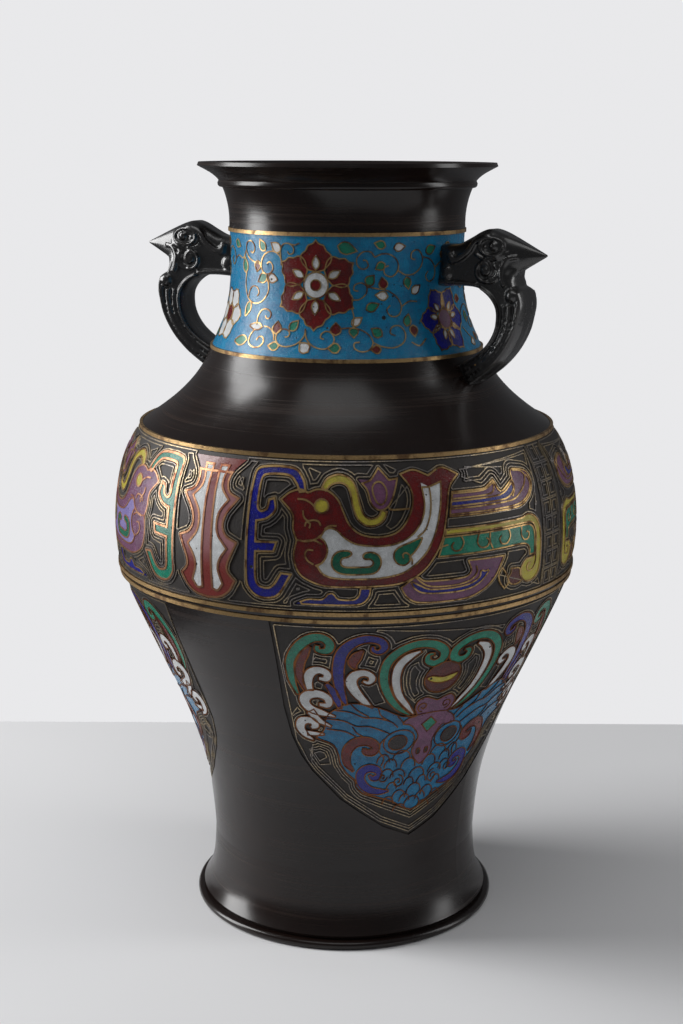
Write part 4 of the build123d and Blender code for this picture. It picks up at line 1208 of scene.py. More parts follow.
# Vine lines with curled ends.
VINES = (
    ((-9.6, 267.4), (-13.5, 268.0), (-17.2, 269.6), (-19.0, 272.2), (-18.4, 275.0), (-16.0, 276.0),
     (-13.8, 274.8), (-13.4, 272.8), (-14.8, 271.4), (-16.0, 272.0)),
    ((0.4, 267.4), (0.3, 270.0), (-1.6, 272.0), (-4.4, 272.5), (-7.6, 271.3), (-9.4, 268.8),
     (-9.6, 266.2), (-8.2, 264.2), (-5.8, 264.0), (-3.8, 265.4), (-3.8, 267.4), (-5.2, 268.6),
     (-6.6, 267.8)),
    ((0.3, 270.4), (0.2, 273.2), (1.6, 275.4), (4.2, 275.6), (6.0, 274.0), (5.7, 272.2),
     (4.2, 271.7), (3.3, 272.7)),
    ((4.2, 275.6), (6.4, 275.2), (8.4, 275.9)),
    ((-19.0, 264.5), (-19.6, 260.6), (-18.8, 257.0), (-16.6, 254.0), (-12.5, 252.6),
     (-8.6, 253.6), (-6.0, 256.6), (-5.6, 260.0), (-6.8, 262.4)),
    ((-17.0, 254.8), (-16.2, 257.6), (-14.2, 259.0), (-11.8, 258.6), (-10.6, 256.8), (-11.6, 255.4)),
    ((-9.3, 244.8), (-9.5, 248.0), (-8.0, 250.4), (-5.3, 250.9), (-3.3, 249.6), (-3.4, 247.9),
     (-4.8, 247.4), (-5.7, 248.4)),
    ((-5.4, 244.6), (-2.8, 244.2), (-0.5, 242.2), (0.3, 239.9)),
    ((-9.6, 243.4), (-11.2, 240.6), (-10.6, 238.0), (-8.0, 236.8), (-5.2, 237.2), (-4.0, 239.0),
     (-4.8, 240.6), (-6.6, 240.7), (-7.4, 239.4)),
    ((11.9, 244.6), (11.7, 241.8), (9.2, 239.0), (5.2, 237.9), (2.0, 238.9), (0.8, 241.3),
     (2.0, 243.7), (4.2, 244.1), (6.0, 243.0), (5.8, 241.6), (4.4, 241.3)),
    ((11.9, 244.6), (12.7, 241.2), (15.2, 238.6), (18.6, 237.6), (21.0, 238.3), (22.6, 240.6),
     (21.8, 243.0), (19.8, 244.0), (18.0, 243.0), (17.8, 241.5), (19.0, 241.1)),
    ((24.6, 244.9), (28.0, 245.2), (31.8, 244.6), (34.8, 242.6), (36.0, 240.0), (34.6, 237.4),
     (31.8, 236.8), (29.6, 238.0), (29.6, 239.8), (31.4, 240.2)),
    ((28.6, 252.6), (29.5, 249.2), (29.2, 245.4)),
    ((28.6, 255.4), (31.5, 255.5), (34.1, 257.5), (34.4, 260.2), (32.4, 261.6), (29.9, 260.8),
     (29.6, 259.0), (31.2, 258.6)),
    ((37.4, 271.0), (35.8, 273.0), (32.8, 272.9), (30.6, 270.5), (31.0, 267.8), (33.2, 266.6),
     (35.0, 267.8), (34.2, 269.8), (32.9, 269.9)),
    ((36.0, 240.0), (39.4, 238.4), (43.4, 238.0), (47.0, 239.6), (48.4, 242.8), (46.6, 245.6),
     (43.6, 245.4), (42.6, 243.2), (44.4, 242.2)),
    ((37.4, 271.0), (40.4, 272.2), (43.8, 271.8), (46.6, 269.4), (46.8, 266.0), (44.4, 263.8),
     (41.6, 264.6), (41.2, 267.0), (43.0, 267.8)),
    ((46.8, 266.0), (50.4, 264.2), (54.4, 264.8), (57.4, 267.4), (57.8, 270.8), (55.6, 273.4),
     (52.8, 272.6), (52.6, 270.4), (54.4, 269.8)),
    ((34.4, 260.2), (38.4, 259.4), (42.6, 258.6), (46.4, 256.0), (48.0, 252.6), (46.6, 249.6),
     (43.6, 249.2), (42.0, 251.4), (43.4, 253.2)),
    ((48.0, 252.6), (51.4, 254.4), (55.0, 254.2)),
    ((57.8, 270.8), (62.0, 269.6), (64.6, 266.4), (64.2, 262.8), (61.4, 261.4), (59.6, 263.4),
     (60.8, 265.2)),
    ((64.6, 266.4), (68.6, 268.8), (72.8, 268.4), (75.6, 271.0), (79.8, 273.2), (83.6, 271.6),
     (84.4, 268.2), (81.8, 266.2), (79.6, 267.8), (80.6, 269.6)),
    ((84.4, 268.2), (88.2, 266.6), (90.2, 263.2), (89.4, 259.6), (86.0, 257.6), (82.6, 258.8),
     (82.2, 261.8), (84.8, 262.6)),
    ((90.2, 263.2), (94.6, 262.2), (98.4, 264.4), (100.0, 268.4), (98.0, 272.0), (94.2, 272.4),
     (92.6, 269.8), (94.4, 268.2)),
    ((81.0, 248.0), (84.8, 250.6), (89.2, 250.8), (92.8, 248.4), (94.0, 244.6), (91.6, 241.8),
     (88.6, 242.8), (88.6, 245.4), (90.4, 245.8)),
    ((94.0, 244.6), (98.0, 243.6), (101.2, 241.0), (101.4, 238.2), (98.8, 236.8), (96.8, 238.2)),
    ((89.4, 259.6), (93.2, 256.6), (98.0, 256.0), (101.6, 258.2), (102.4, 261.8), (99.6, 264.0)),
    ((101.6, 258.2), (105.0, 256.4), (107.4, 253.0)),
    ((100.0, 268.4), (104.2, 268.8), (108.6, 271.2), (112.8, 273.0), (117.0, 271.8), (118.4, 268.4),
     (116.0, 266.2), (113.6, 267.8), (114.8, 269.4)),
    ((118.4, 268.4), (121.8, 270.0), (126.0, 269.2), (128.2, 272.0)),
    ((56.6, 240.6), (53.2, 238.2), (50.2, 239.6)),
    ((79.8, 242.8), (83.4, 239.4), (86.8, 237.8)),
)
# Leaves and buds: colour, middle, length, breadth and direction in turns.
BUDS = (
    ("jade", -20.0, 266.8, 6.2, 3.4, 0.27), ("jade", -9.0, 262.2, 5.6, 3.6, 0.58),
    ("jade", -16.2, 250.2, 6.4, 3.2, 0.70), ("jade", -15.8, 238.6, 7.4, 3.6, 0.52),
    ("jade", 0.6, 237.8, 4.4, 3.0, 0.50), ("jade", 7.4, 245.6, 4.8, 3.2, 0.14),
    ("jade", 22.6, 238.0, 4.4, 3.4, 0.50), ("jade", 29.4, 243.6, 3.8, 3.2, 0.75),
    ("jade", 37.6, 243.6, 4.6, 3.4, 0.40), ("jade", 36.6, 252.8, 5.4, 3.2, 0.06),
    ("jade", 35.8, 262.6, 4.6, 3.6, 0.14), ("jade", 39.6, 267.6, 4.2, 3.0, 0.58),
    ("jade", 27.0, 274.2, 7.6, 4.4, 0.96), ("jade", 39.4, 275.6, 4.6, 3.0, 0.46),
    ("jade", -8.8, 274.6, 5.0, 3.2, 0.34), ("jade", 51.0, 261.2, 4.6, 3.2, 0.78),
    ("jade", 62.0, 273.4, 5.4, 3.4, 0.06), ("jade", 50.0, 247.6, 4.6, 3.0, 0.20),
    ("jade", 90.0, 272.2, 4.8, 3.2, 0.30), ("jade", 95.4, 259.6, 4.4, 2.8, 0.70),
    ("jade", 86.0, 246.4, 4.2, 3.0, 0.72), ("jade", 97.4, 248.2, 5.4, 3.2, 0.14),
    ("jade", 106.6, 264.6, 5.0, 3.2, 0.80), ("jade", 106.2, 239.0, 5.6, 3.2, 0.04),
    ("jade", 121.8, 274.4, 4.6, 3.0, 0.94), ("jade", 72.8, 274.2, 4.6, 2.8, 0.96),
    ("white", -2.0, 274.2, 5.2, 3.6, 0.40), ("white", -3.6, 262.4, 4.8, 3.4, 0.97),
    ("white", -9.8, 244.3, 7.0, 2.6, 0.50), ("white", 12.2, 238.0, 4.6, 3.8, 0.38),
    ("white", 30.6, 247.6, 4.6, 2.8, 0.10), ("white", 40.2, 256.8, 5.0, 3.2, 0.48),
    ("white", 54.8, 258.8, 4.8, 3.0, 0.10), ("white", 47.4, 274.6, 4.8, 3.0, 0.02),
    ("white", 78.6, 262.8, 4.8, 3.0, 0.48), ("white", 101.0, 251.8, 4.6, 3.0, 0.86),
    ("white", 103.4, 273.8, 5.0, 3.0, 0.46), ("white", 84.6, 236.9, 4.2, 2.6, 0.52),
    ("red", -11.8, 266.6, 4.2, 3.4, 0.72), ("red", 0.5, 244.5, 4.6, 3.8, 0.25),
    ("red", 23.0, 244.8, 4.6, 3.8, 0.25), ("red", 40.8, 261.4, 4.4, 3.4, 0.28),
    ("red", 36.8, 237.5, 3.6, 2.8, 0.50), ("red", 52.0, 243.6, 4.2, 3.2, 0.75),
    ("red", 69.4, 271.6, 4.2, 3.4, 0.25), ("red", 93.6, 253.6, 4.2, 3.2, 0.28),
    ("red", 108.8, 275.0, 3.8, 3.0, 0.50), ("red", 91.0, 238.4, 3.8, 3.0, 0.02),
    ("red", 80.0, 253.8, 4.0, 3.0, 0.98),
)


def whole_from_half(half, x, y, turn, scale=1.0):
    """A shape drawn as its right half, mirrored, turned (in turns) and moved."""
    side = smooth(half, closed=False, steps=4)
    path = side + mirrored(side)[1:-1]
    c = cos(tau * turn)
    s = sin(tau * turn)
    return [Vector((x + scale * (p.x * c - p.y * s), y + scale * (p.x * s + p.y * c)))
            for p in path]


def bud(x, y, length, breadth, turn):
    """A leaf, pointed at its far end."""
    half = ((0, -length * 0.5), (breadth * 0.42, -length * 0.3), (breadth * 0.5, 0),
            (breadth * 0.28, length * 0.26), (0, length * 0.5, 1))
    return whole_from_half(half, x, y, turn - 0.25)


def inside_band(path, low, high):
    return [Vector((p.x, min(max(p.y, low), high))) for p in path]


def neck_fill(name, outlines, colour, level, stands_for=()):
    inside = [inside_band(path, NECK_LOW + 0.3, NECK_HIGH - 0.3) for path in outlines]
    return fill(name, inside, finish_for(colour), NECK_REFERENCE, NECK_PLACES,
                level, stands_for=stands_for)


def make_neck_ground():
    """The azure enamel that the flowers and vines lie in."""
    ring = bmesh.new()
    heights = np.linspace(NECK_LOW, NECK_HIGH, 16)
    outside = [(float(radius_at([z])[0]) + ENAMEL_TOP, z) for z in heights]
    inside = [(float(radius_at([z])[0]) - 0.9, z) for z in heights[::-1]]
    loop = [ring.verts.new((radius * MM, 0, z * MM)) for radius, z in outside + inside]
    edges = [ring.edges.new((loop[i - 1], loop[i])) for i in range(len(loop))]
    bmesh.ops.spin(ring, geom=loop + edges, cent=(0, 0, 0), axis=(0, 0, 1), angle=tau, steps=240,
                   use_merge=True)
    bmesh.ops.remove_doubles(ring, verts=ring.verts, dist=1e-6)
    bmesh.ops.recalc_face_normals(ring, faces=ring.faces)
    mesh = bpy.data.meshes.new("neck_azure_enamel")
    ring.to_mesh(mesh)
    ring.free()
    shade_smooth(mesh)
    settle(new_object(mesh, "neck_azure_enamel"), finish_for("azure"),
           ["neck_enamel_ground"])


def make_neck_flowers(sizes):
    """The large oxblood flower, the blue one behind the handle and the white one, each with
    its seeds and its ringed middle."""
    x, y = FLOWER
    petals = [whole_from_half(PETAL_HALF, x, y, number / 6) for number in range(6)]
    seeds = [whole_from_half(SEED_HALF, x, y, number / 6) for number in range(6)]
    disc = ellipse(x, y, 4.8, 4.8, 28)
    boss = ellipse(x, y, 2.0, 2.0, 18)
    x, y = BLUE_FLOWER
    blue = [whole_from_half(PETAL_HALF, x, y, (number + 0.5) / 6, 0.78) for number in range(6)]
    inner = [whole_from_half(SEED_HALF, x, y, number / 9, 0.72) for number in range(9)]
    blue_disc = ellipse(x, y, 3.6, 3.6, 24)
    x, y = WHITE_FLOWER
    white = [whole_from_half(PETAL_HALF, x, y, (number + 0.5) / 6, 0.66) for number in range(6)]
    white_disc = ellipse(x, y, 3.1, 3.1, 24)
    neck_fill("flower_red_enamel", petals, "red", ENAMEL_TOP + LAYER, ["neck_flower_petals"])
    neck_fill("flower_white_enamel", [disc, *seeds, *inner, *white], "white", ENAMEL_TOP + 2 * LAYER,
              ["neck_flower_centres"])
    neck_fill("flower_cobalt_enamel", blue, "cobalt", ENAMEL_TOP + LAYER)
    neck_fill("flower_heart_enamel", [boss, white_disc], "red", ENAMEL_TOP + 3 * LAYER)
    neck_fill("flower_mauve_enamel", [blue_disc], "mauve", ENAMEL_TOP + 3 * LAYER)
    outlines = petals + seeds + [disc, boss] + blue + inner + [blue_disc] + white + [white_disc]
    walls = [(inside_band(path, NECK_LOW + 0.3, NECK_HIGH - 0.3), True) for path in outlines]
    wires("neck_flower_walls", walls, finish_for("wire"), NECK_REFERENCE,
          NECK_PLACES, sizes.wire_width * 0.72, WIRE_TOP)


def make_neck_vines(sizes):
    """Curling vines with their leaves and buds."""
    by_colour = {}
    walls = []
    for colour, x, y, length, breadth, turn in BUDS:
        outline = inside_band(bud(x, y, length, breadth, turn), NECK_LOW + 0.3, NECK_HIGH - 0.3)
        by_colour.setdefault(colour, []).append(outline)
        walls.append((outline, True))
    for colour, word in (("jade", "green"), ("white", "white"), ("red", "red")):
        neck_fill(f"vine_{word}_enamel", by_colour[colour], colour, ENAMEL_TOP + LAYER)
    for line in VINES:
        path = smooth(line, closed=False)
        walls.append((inside_band(path, NECK_LOW + 0.2, NECK_HIGH - 0.2), False))
    wires("vine_walls", walls, finish_for("wire"), NECK_REFERENCE, NECK_PLACES,
          sizes.wire_width * 0.68, WIRE_TOP)


# Handles: bird heads drawn from the side, as radius from the axis and height --------------

HANDLE_TURNS = (("handle_right", 90), ("handle_left", -78))
HANDLE_CROWN = ((44.6, 275.3, 1), (52, 275.3), (57, 277.4), (63, 280.6), (67, 281.0), (75, 278.0),
                (87.8, 272.2, 1), (87.8, 271.6, 1), (77.6, 266, 1), (76.6, 263.6), (77.2, 260.7, 1))
HANDLE_BACK = ((80.0, 258.8), (81.1, 254.0), (80.4, 248.8), (78.6, 242.4), (74.4, 235),
               (68.3, 228.4), (60.4, 222.6), (56.0, 219.6, 1))
HANDLE_INSIDE = ((52.6, 229.6, 1), (56.5, 231.3), (61.5, 234.2), (66.4, 238.5), (69.5, 243.8),
                 (70.3, 249), (69.5, 252.8), (66.5, 256.5), (62, 259.0), (55, 259.6),
                 (44.6, 258.9, 1))
HANDLE_HALF = 6.7
RELIEF_TOP = 8.0
CREST_RIDGE = ((67.4, 279.0), (63.4, 278.2), (60.8, 276.2), (59.2, 273.6), (56.4, 271.2),
               (53.4, 269.6), (51.2, 270.4), (50.6, 272.4))
BROW_RIDGE = ((61.4, 272.0), (64.4, 270.6), (68.4, 270.2), (72.4, 271.2), (74.8, 273.2))
THROAT_RIDGE = ((78.0, 271.4), (74.6, 270.6), (72.8, 267.4), (72.6, 263.6), (73.8, 260.6))


# Studs on the handle's side: distance from the axis, height, radius and rise
KNOBS = ((77.0, 257.1, 2.5, 2.0), (65.7, 266.1, 1.9, 1.3), (69.0, 275.2, 1.7, 1.3),
         (65.3, 274.3, 0.9, 0.9), (51.8, 269.6, 1.9, 1.6), (49.0, 264.6, 2.6, 1.2))
NECK_OF_BIRD = 262.0
NECK_FADE = 6.0
LOOP_BEND = 1.2
HEAD_BEND = 4.6
EDGE_SHARE = 0.42
BEAK_ROOT = 71.0
BEAK_LENGTH = 17.0
BEAK_UNDERSIDE = 264.5
BEAK_FADE = 2.5
BEAK_TAPER = 0.86


def between_edges(share, first=0, last=8):
    """A line running down the loop, part of the way from its inner to its outer edge."""
    inner = [Vector(p[:2]) for p in HANDLE_INSIDE[8:0:-1]]
    outer = [Vector((77.0, 261.0))] + [Vector(p[:2]) for p in HANDLE_BACK[:7]]
    line = [a.lerp(b, share) for a, b in zip(inner, outer)]
    return smooth([tuple(p) for p in line[first:last]], closed=False)


def handle_relief():
    """Raised lines on a handle's side: path, whether it is closed, breadth and top."""
    return (
        (between_edges(0.10), False, 1.8, RELIEF_TOP), (between_edges(0.35, 2), False, 1.1, 7.6),
        (between_edges(0.58, 2), False, 2.0, 7.9), (between_edges(0.80, 1), False, 0.9, 7.7),
        (between_edges(0.95, 1), False, 1.3, RELIEF_TOP),
        (smooth(CREST_RIDGE, closed=False), False, 2.2, RELIEF_TOP + 0.2),
        (smooth(BROW_RIDGE, closed=False), False, 0.9, 7.5),
        (smooth(THROAT_RIDGE, closed=False), False, 1.7, 7.9),
        (ellipse(68.2, 275.0, 5.0, 3.3, 28), True, 1.0, RELIEF_TOP),
        (spiral(65.7, 266.1, 4.3, 1.0, 0.80, -1.15, 26), False, 1.3, RELIEF_TOP),
        (smooth(((46.0, 260.8), (52.0, 261.0), (58.0, 260.9), (62.6, 260.6)), closed=False),
         False, 1.6, 7.8),
        (smooth(((67.2, 262.2), (69.8, 263.2), (71.2, 266.0), (70.0, 268.8)), closed=False),
         False, 2.4, 7.3),
    )


def knob(bm, x, y, level, radius, height):
    """A rounded stud standing on the handle's side."""
    place = Matrix.Translation((x, y, level)) @ Matrix.Diagonal((radius, radius, height, 1))
    bmesh.ops.create_uvsphere(bm, u_segments=20, v_segments=12, radius=1, matrix=place)


def handle_blank():
    """The handle lying flat: its slab and, on both sides, the relief that melts into it."""
    outline = smooth(HANDLE_CROWN + HANDLE_BACK + HANDLE_INSIDE)
    whole = flat_slabs([outline], HANDLE_HALF, -HANDLE_HALF, 1.0, 1.0)
    relief = bmesh.new()
    for path, is_closed, breadth, top in handle_relief():
        bar = line_mesh([(path, is_closed)], breadth, 2.4)
        bmesh.ops.translate(bar, verts=bar.verts, vec=(0, 0, top))
        mesh = bpy.data.meshes.new("bar")
        bar.to_mesh(mesh)
        bar.free()
        relief.from_mesh(mesh)
        bpy.data.meshes.remove(mesh)
    for x, y, radius, height in KNOBS:
        knob(relief, x, y, HANDLE_HALF, radius, height)
    mesh = bpy.data.meshes.new("handle_blank")
    relief.to_mesh(mesh)
    whole.from_mesh(mesh)
    bmesh.ops.scale(relief, verts=relief.verts, vec=(1, 1, -1))
    bmesh.ops.reverse_faces(relief, faces=relief.faces)
    relief.to_mesh(mesh)
    relief.free()
    whole.from_mesh(mesh)
    whole.to_mesh(mesh)
    whole.free()
    return mesh, outline


def make_handles(sizes):
    """Two bird-head handles with rounded heads, tapering beaks and chased ridges."""
    mesh, outline = handle_blank()
    holder = new_object(mesh, "handle_blank")
    remesh = holder.modifiers.new("melt", "REMESH")
    remesh.mode = "VOXEL"
    remesh.voxel_size = sizes.handle_grain
    soften = holder.modifiers.new("soften", "SMOOTH")
    soften.factor = 0.5
    soften.iterations = 3
    bpy.context.view_layer.update()
    cast = bpy.data.meshes.new_from_object(holder.evaluated_get(
        bpy.context.evaluated_depsgraph_get()))
    bpy.data.objects.remove(holder)
    bpy.data.meshes.remove(mesh)
    points = np.zeros(len(cast.vertices) * 3)
    cast.vertices.foreach_get("co", points)
    points = points.reshape(-1, 3)
    radius, height, across = points.T
    depth = -signed_distances(points[:, :2], [outline], ())
    head = np.clip((height - NECK_OF_BIRD) / NECK_FADE, 0, 1)
    bend = LOOP_BEND + (HEAD_BEND - LOOP_BEND) * head
    rounded = np.clip(depth / bend, 0, 1)
    across = across * (EDGE_SHARE + (1 - EDGE_SHARE) * np.sqrt(1 - (1 - rounded) ** 2))
    beak = (np.clip((radius - BEAK_ROOT) / BEAK_LENGTH, 0, 1)
            * np.clip((height - BEAK_UNDERSIDE) / BEAK_FADE, 0, 1))
    across = across * (1 - BEAK_TAPER * beak)
    for name, turn in HANDLE_TURNS:
        angle = radians(turn)
        placed = np.column_stack((radius * sin(angle) + across * cos(angle),
                                  -radius * cos(angle) + across * sin(angle), height))
        shape = cast.copy()
        shape.name = f"{name}_cast"
        shape.vertices.foreach_set("co", (placed * MM).ravel())
        bm = bmesh.new()
        bm.from_mesh(shape)
        bmesh.ops.recalc_face_normals(bm, faces=bm.faces)
        bm.to_mesh(shape)
        bm.free()
        shape.update()
        shape.shade_smooth()
        settle(new_object(shape, f"{name}_cast"), finish_for("cast"), [name])
    bpy.data.meshes.remove(cast)


# Castings that keep their own shape ---------------------------------------------------------

CASTING_FINISHES = {
    "bronze": ("lower_body", "base_plate", "belly", "shoulder", "neck", "mouth_rim"),
    "gilt": ("neck_upper_border", "neck_lower_border", "belly_upper_border",
             "belly_lower_border", "lappet_upper_border"),
    "cast": ("handle_upper_pegs", "handle_lower_pegs"),
}

# Section of the ring under the mouth's flare: radius and height
RIM_LEDGE = ((49.2, 295.3), (50.3, 295.5), (50.9, 296.0), (51.1, 297.0), (50.6, 298.2),
             (49.2, 298.2))


def turned_ring(name, section, material, around=192):
    """A closed section of (radius, height) points carried round the axis."""
    bm = bmesh.new()
    rings = []
    for step in range(around):
        angle = 2 * pi * step / around
        rings.append([bm.verts.new((r * cos(angle) * MM, r * sin(angle) * MM, z * MM))
                      for r, z in section])
    for ring, after in zip(rings, rings[1:] + rings[:1]):
        for i in range(len(section)):
            bm.faces.new((ring[i - 1], after[i - 1], after[i], ring[i]))
    bmesh.ops.recalc_face_normals(bm, faces=bm.faces)
    mesh = bpy.data.meshes.new(name)
    bm.to_mesh(mesh)
    bm.free()
    shade_smooth(mesh, 40)
    return settle(new_object(mesh, name), material)


def make_rim_ledge():
    """The crisp edge where the straight neck ends and the flare begins."""
    turned_ring("rim_ledge", RIM_LEDGE, finish_for("bronze"))


def dress_castings():
    for finish, names in CASTING_FINISHES.items():
        for name in names:
            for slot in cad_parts[name].material_slots:
                slot.material = finish_for(finish)


# Stage -----------------------------------------------------------------------------------------

CAMERA_TURN = 33.0
CAMERA_DISTANCE = 0.6585
CAMERA_HEIGHT = 0.312
CAMERA_PITCH = 12.65
CAMERA_ROLL = 0.25
CAMERA_LENS = 57.7
AXIS_OFFSET = 0.0018
FLOOR_HALF = 0.45
FLOOR_SHIFT = (0.25, -0.25, 0)
FLOOR_TURN = 33.0
FLOOR_THICKNESS = 0.05
LIGHT_AIM = 0.17
# Name, turn in degrees, distance, height, breadth and length in metres, power in watts
LIGHTS = (("window", -62, 1.15, 0.62, (0.55, 1.3), 22),
          ("side_card", 118, 1.1, 0.5, (0.3, 1.1), 4),
          ("top_card", 20, 0.5, 1.5, (0.9, 0.9), 4))


def seen_from(turn, distance, height):
    """A place round the vase: turn in degrees from -Y towards +X."""
    angle = radians(turn)
    return Vector((distance * sin(angle), -distance * cos(angle), height))


def make_floor():
    """A pale square table top, turned so that a corner points away from the camera."""
    bm = bmesh.new()
    bmesh.ops.create_grid(bm, x_segments=2, y_segments=2, size=FLOOR_HALF)
    edges = [edge for edge in bm.edges if edge.is_boundary]
    bmesh.ops.translate(bm, verts=bm.verts, vec=FLOOR_SHIFT)
    bmesh.ops.rotate(bm, verts=bm.verts, cent=(0, 0, 0),
                     matrix=Matrix.Rotation(radians(FLOOR_TURN), 3, "Z"))
    wall = bmesh.ops.extrude_edge_only(bm, edges=edges)
    low = [item for item in wall["geom"] if isinstance(item, bmesh.types.BMVert)]
    bmesh.ops.translate(bm, verts=low, vec=(0, 0, -FLOOR_THICKNESS))
    bmesh.ops.recalc_face_normals(bm, faces=bm.faces)
    mesh = bpy.data.meshes.new("floor")
    bm.to_mesh(mesh)
    bm.free()
    floor = new_object(mesh, "floor")
    floor.data.materials.append(plain_finish("pale_paper", (0.78, 0.78, 0.79)))


def make_light(name, turn, distance, height, size, power):
    data = bpy.data.lights.new(name, "AREA")
    data.shape = "RECTANGLE"
    data.size, data.size_y = size
    data.energy = power
    light = bpy.data.objects.new(name, data)
    bpy.context.scene.collection.objects.link(light)
    light.location = seen_from(turn, distance, height)
    towards = Vector((0, 0, LIGHT_AIM)) - light.location
    light.rotation_euler = towards.to_track_quat("-Z", "Y").to_euler()


def make_world():
    """Pale surroundings: bright behind the vase, dimmer where the gloss would mirror them."""
    world = bpy.data.worlds.new("studio")
    world.use_nodes = True
    bpy.context.scene.world = world
    tree = world.node_tree
    path = tree.nodes.new("ShaderNodeLightPath")
    soft = tree.nodes["Background"]
    soft.inputs["Color"].default_value = (0.80, 0.82, 0.86, 1)
    soft.inputs["Strength"].default_value = 0.12
    bright = tree.nodes.new("ShaderNodeBackground")
    bright.inputs["Color"].default_value = (0.83, 0.83, 0.845, 1)
    bright.inputs["Strength"].default_value = 0.98
    mix = tree.nodes.new("ShaderNodeMixShader")
    tree.links.new(path.outputs["Is Camera Ray"], mix.inputs[0])
    tree.links.new(soft.outputs[0], mix.inputs[1])
    tree.links.new(bright.outputs[0], mix.inputs[2])
    tree.links.new(mix.outputs[0], tree.nodes["World Output"].inputs["Surface"])


def make_camera():
    data = bpy.data.cameras.new("camera")
    data.lens = CAMERA_LENS
    data.sensor_width = 36
    data.sensor_fit = "AUTO"
    camera = bpy.data.objects.new("camera", data)
    bpy.context.scene.collection.objects.link(camera)
    angle = radians(CAMERA_TURN)
    aside = Vector((cos(angle), sin(angle), 0)) * -AXIS_OFFSET
    camera.location = seen_from(CAMERA_TURN, CAMERA_DISTANCE, CAMERA_HEIGHT) + aside
    camera.rotation_euler = (Matrix.Rotation(angle, 3, "Z")
                             @ Matrix.Rotation(radians(90 - CAMERA_PITCH), 3, "X")
                             @ Matrix.Rotation(radians(CAMERA_ROLL), 3, "Z")).to_euler()
    bpy.context.scene.camera = camera


def make_stage():
    bpy.context.scene.view_settings.view_transform = "Standard"
    make_world()
    make_floor()
    for light in LIGHTS:
        make_light(*light)
    make_camera()


# Add-on ------------------------------------------------------------------------------------------

class VaseSizes(bpy.types.PropertyGroup):
    """Sizes in millimetres that can be changed before the pieces are made."""
    wire_width: FloatProperty(name="Wire width", description="Width of the cell walls",
                              default=0.85, min=0.3, max=2.0)
    fret_pitch: FloatProperty(name="Fret pitch", description="From one fret ridge to the next",
                              default=1.15, min=0.8, max=3.0)
    fret_ridge: FloatProperty(name="Fret ridge", description="Width of a fret ridge",
                              default=0.42, min=0.2, max=1.5)
    handle_grain: FloatProperty(name="Handle grain", description="Size of the smallest detail",
                                default=0.45, min=0.3, max=2.0)


class VaseColours(bpy.types.PropertyGroup):
    """Colours of the enamels; each is also fired a little darker in clouds."""
    azure: FloatVectorProperty(name="Azure", description="Enamel of the neck's ground",
        subtype="COLOR", size=3, min=0, max=1, default=COLOURS["azure"][0])
    feather: FloatVectorProperty(name="Feather", description="Enamel of the lappets' feathers",
        subtype="COLOR", size=3, min=0, max=1, default=COLOURS["feather"][0])
    cobalt: FloatVectorProperty(name="Cobalt", description="Enamel of dark blue parts",
        subtype="COLOR", size=3, min=0, max=1, default=COLOURS["cobalt"][0])
    green: FloatVectorProperty(name="Green", description="Enamel of the birds' wings",
        subtype="COLOR", size=3, min=0, max=1, default=COLOURS["green"][0])
    jade: FloatVectorProperty(name="Jade", description="Enamel of pale green parts",
        subtype="COLOR", size=3, min=0, max=1, default=COLOURS["jade"][0])
    red: FloatVectorProperty(name="Red", description="Enamel of oxblood parts",
        subtype="COLOR", size=3, min=0, max=1, default=COLOURS["red"][0])
    brown: FloatVectorProperty(name="Brown", description="Enamel of red-brown parts",
        subtype="COLOR", size=3, min=0, max=1, default=COLOURS["brown"][0])
    yellow: FloatVectorProperty(name="Yellow", description="Enamel of crests and tails",
        subtype="COLOR", size=3, min=0, max=1, default=COLOURS["yellow"][0])
    mauve: FloatVectorProperty(name="Mauve", description="Enamel of feathers and far birds",
        subtype="COLOR", size=3, min=0, max=1, default=COLOURS["mauve"][0])
    lavender: FloatVectorProperty(name="Lavender", description="Enamel of the far birds' breasts",
        subtype="COLOR", size=3, min=0, max=1, default=COLOURS["lavender"][0])
    white: FloatVectorProperty(name="White", description="Enamel of white parts",
        subtype="COLOR", size=3, min=0, max=1, default=COLOURS["white"][0])
    iris: FloatVectorProperty(name="Iris", description="Enamel of eyes of the masks",
        subtype="COLOR", size=3, min=0, max=1, default=COLOURS["iris"][0])


class VASE_OT_stage(bpy.types.Operator):
    """Make the floor, the lights, the surroundings and the camera"""
    bl_idname = "vase.stage"
    bl_label = "Stage"

    def execute(self, context):
        make_stage()
        return {"FINISHED"}


class VASE_OT_castings(bpy.types.Operator):
    """Finish the turned castings, the borders and the pegs"""
    bl_idname = "vase.castings"
    bl_label = "Castings"

    def execute(self, context):
        dress_castings()
        make_rim_ledge()
        return {"FINISHED"}


class VASE_OT_belly_fret(bpy.types.Operator):
    """Make the belly band's black floor and its key fret"""
    bl_idname = "vase.belly_fret"
    bl_label = "Belly fret"

    def execute(self, context):
        make_belly_fret(context.scene.vase_sizes)
        return {"FINISHED"}


class VASE_OT_axes(bpy.types.Operator):
    """Make the upright axe-shaped motifs, front and back"""
    bl_idname = "vase.axes"
    bl_label = "Axes"

    def execute(self, context):
        make_axes(context.scene.vase_sizes)
        return {"FINISHED"}


class VASE_OT_dragons(bpy.types.Operator):
    """Make the squared dragons beside each axe"""
    bl_idname = "vase.dragons"
    bl_label = "Dragons"

    def execute(self, context):
        make_dragons(context.scene.vase_sizes)
        return {"FINISHED"}


class VASE_OT_birds(bpy.types.Operator):
    """Make the four birds with their breasts, wings and eyes"""
    bl_idname = "vase.birds"
    bl_label = "Birds"

    def execute(self, context):
        make_birds(context.scene.vase_sizes)
        return {"FINISHED"}


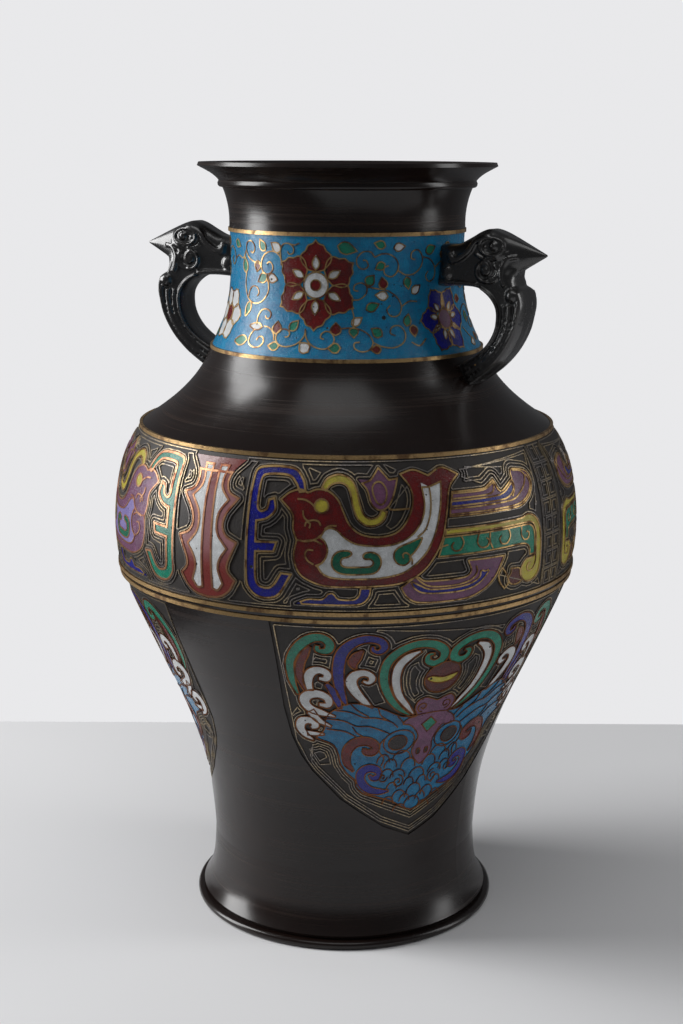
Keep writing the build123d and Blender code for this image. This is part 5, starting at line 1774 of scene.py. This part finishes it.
class VASE_OT_crests(bpy.types.Operator):
    """Make the birds' crests and the tulips behind them"""
    bl_idname = "vase.crests"
    bl_label = "Crests"

    def execute(self, context):
        make_crests(context.scene.vase_sizes)
        return {"FINISHED"}


class VASE_OT_feathers(bpy.types.Operator):
    """Make the tail feathers above and below, and the ripples"""
    bl_idname = "vase.feathers"
    bl_label = "Feathers"

    def execute(self, context):
        make_feathers(context.scene.vase_sizes)
        return {"FINISHED"}


class VASE_OT_tails(bpy.types.Operator):
    """Make the birds' squared tails"""
    bl_idname = "vase.tails"
    bl_label = "Tails"

    def execute(self, context):
        make_tails(context.scene.vase_sizes)
        return {"FINISHED"}


class VASE_OT_lappet_fret(bpy.types.Operator):
    """Make the lappets' black shields and their key fret"""
    bl_idname = "vase.lappet_fret"
    bl_label = "Lappet fret"

    def execute(self, context):
        make_lappet_fret(context.scene.vase_sizes)
        return {"FINISHED"}


class VASE_OT_lappets(bpy.types.Operator):
    """Make the masks, scrolls and feathers in the lappets"""
    bl_idname = "vase.lappets"
    bl_label = "Lappets"

    def execute(self, context):
        make_lappets(context.scene.vase_sizes)
        return {"FINISHED"}


class VASE_OT_neck_ground(bpy.types.Operator):
    """Make the neck's azure enamel"""
    bl_idname = "vase.neck_ground"
    bl_label = "Neck ground"

    def execute(self, context):
        make_neck_ground()
        return {"FINISHED"}


class VASE_OT_neck_flowers(bpy.types.Operator):
    """Make the flowers round the neck"""
    bl_idname = "vase.neck_flowers"
    bl_label = "Neck flowers"

    def execute(self, context):
        make_neck_flowers(context.scene.vase_sizes)
        return {"FINISHED"}


class VASE_OT_neck_vines(bpy.types.Operator):
    """Make the vines, leaves and buds round the neck"""
    bl_idname = "vase.neck_vines"
    bl_label = "Neck vines"

    def execute(self, context):
        make_neck_vines(context.scene.vase_sizes)
        return {"FINISHED"}


class VASE_OT_handles(bpy.types.Operator):
    """Make the two bird-head handles"""
    bl_idname = "vase.handles"
    bl_label = "Handles"

    def execute(self, context):
        make_handles(context.scene.vase_sizes)
        return {"FINISHED"}


OPERATORS = (VASE_OT_stage, VASE_OT_castings, VASE_OT_belly_fret, VASE_OT_axes, VASE_OT_dragons,
             VASE_OT_birds, VASE_OT_crests, VASE_OT_feathers, VASE_OT_tails, VASE_OT_lappet_fret,
             VASE_OT_lappets, VASE_OT_neck_ground, VASE_OT_neck_flowers, VASE_OT_neck_vines,
             VASE_OT_handles)


class VASE_PT_panel(bpy.types.Panel):
    """The vase's sizes and colours, and a button for each group of pieces."""
    bl_idname = "VASE_PT_panel"
    bl_label = "Enamelled vase"
    bl_space_type = "VIEW_3D"
    bl_region_type = "UI"
    bl_category = "Vase"

    def draw(self, context):
        for group in (context.scene.vase_sizes, context.scene.vase_colours):
            for name in group.__annotations__:
                self.layout.prop(group, name)
        for operator in OPERATORS:
            self.layout.operator(operator.bl_idname)


CLASSES = (VaseSizes, VaseColours, *OPERATORS, VASE_PT_panel)


def register():
    for made in CLASSES:
        bpy.utils.register_class(made)
    bpy.types.Scene.vase_sizes = PointerProperty(type=VaseSizes)
    bpy.types.Scene.vase_colours = PointerProperty(type=VaseColours)


def unregister():
    del bpy.types.Scene.vase_sizes
    del bpy.types.Scene.vase_colours
    for made in reversed(CLASSES):
        bpy.utils.unregister_class(made)


def main():
    register()
    for operator in OPERATORS:
        group, name = operator.bl_idname.split(".")
        getattr(getattr(bpy.ops, group), name)()


if __name__ == "__main__":
    main()
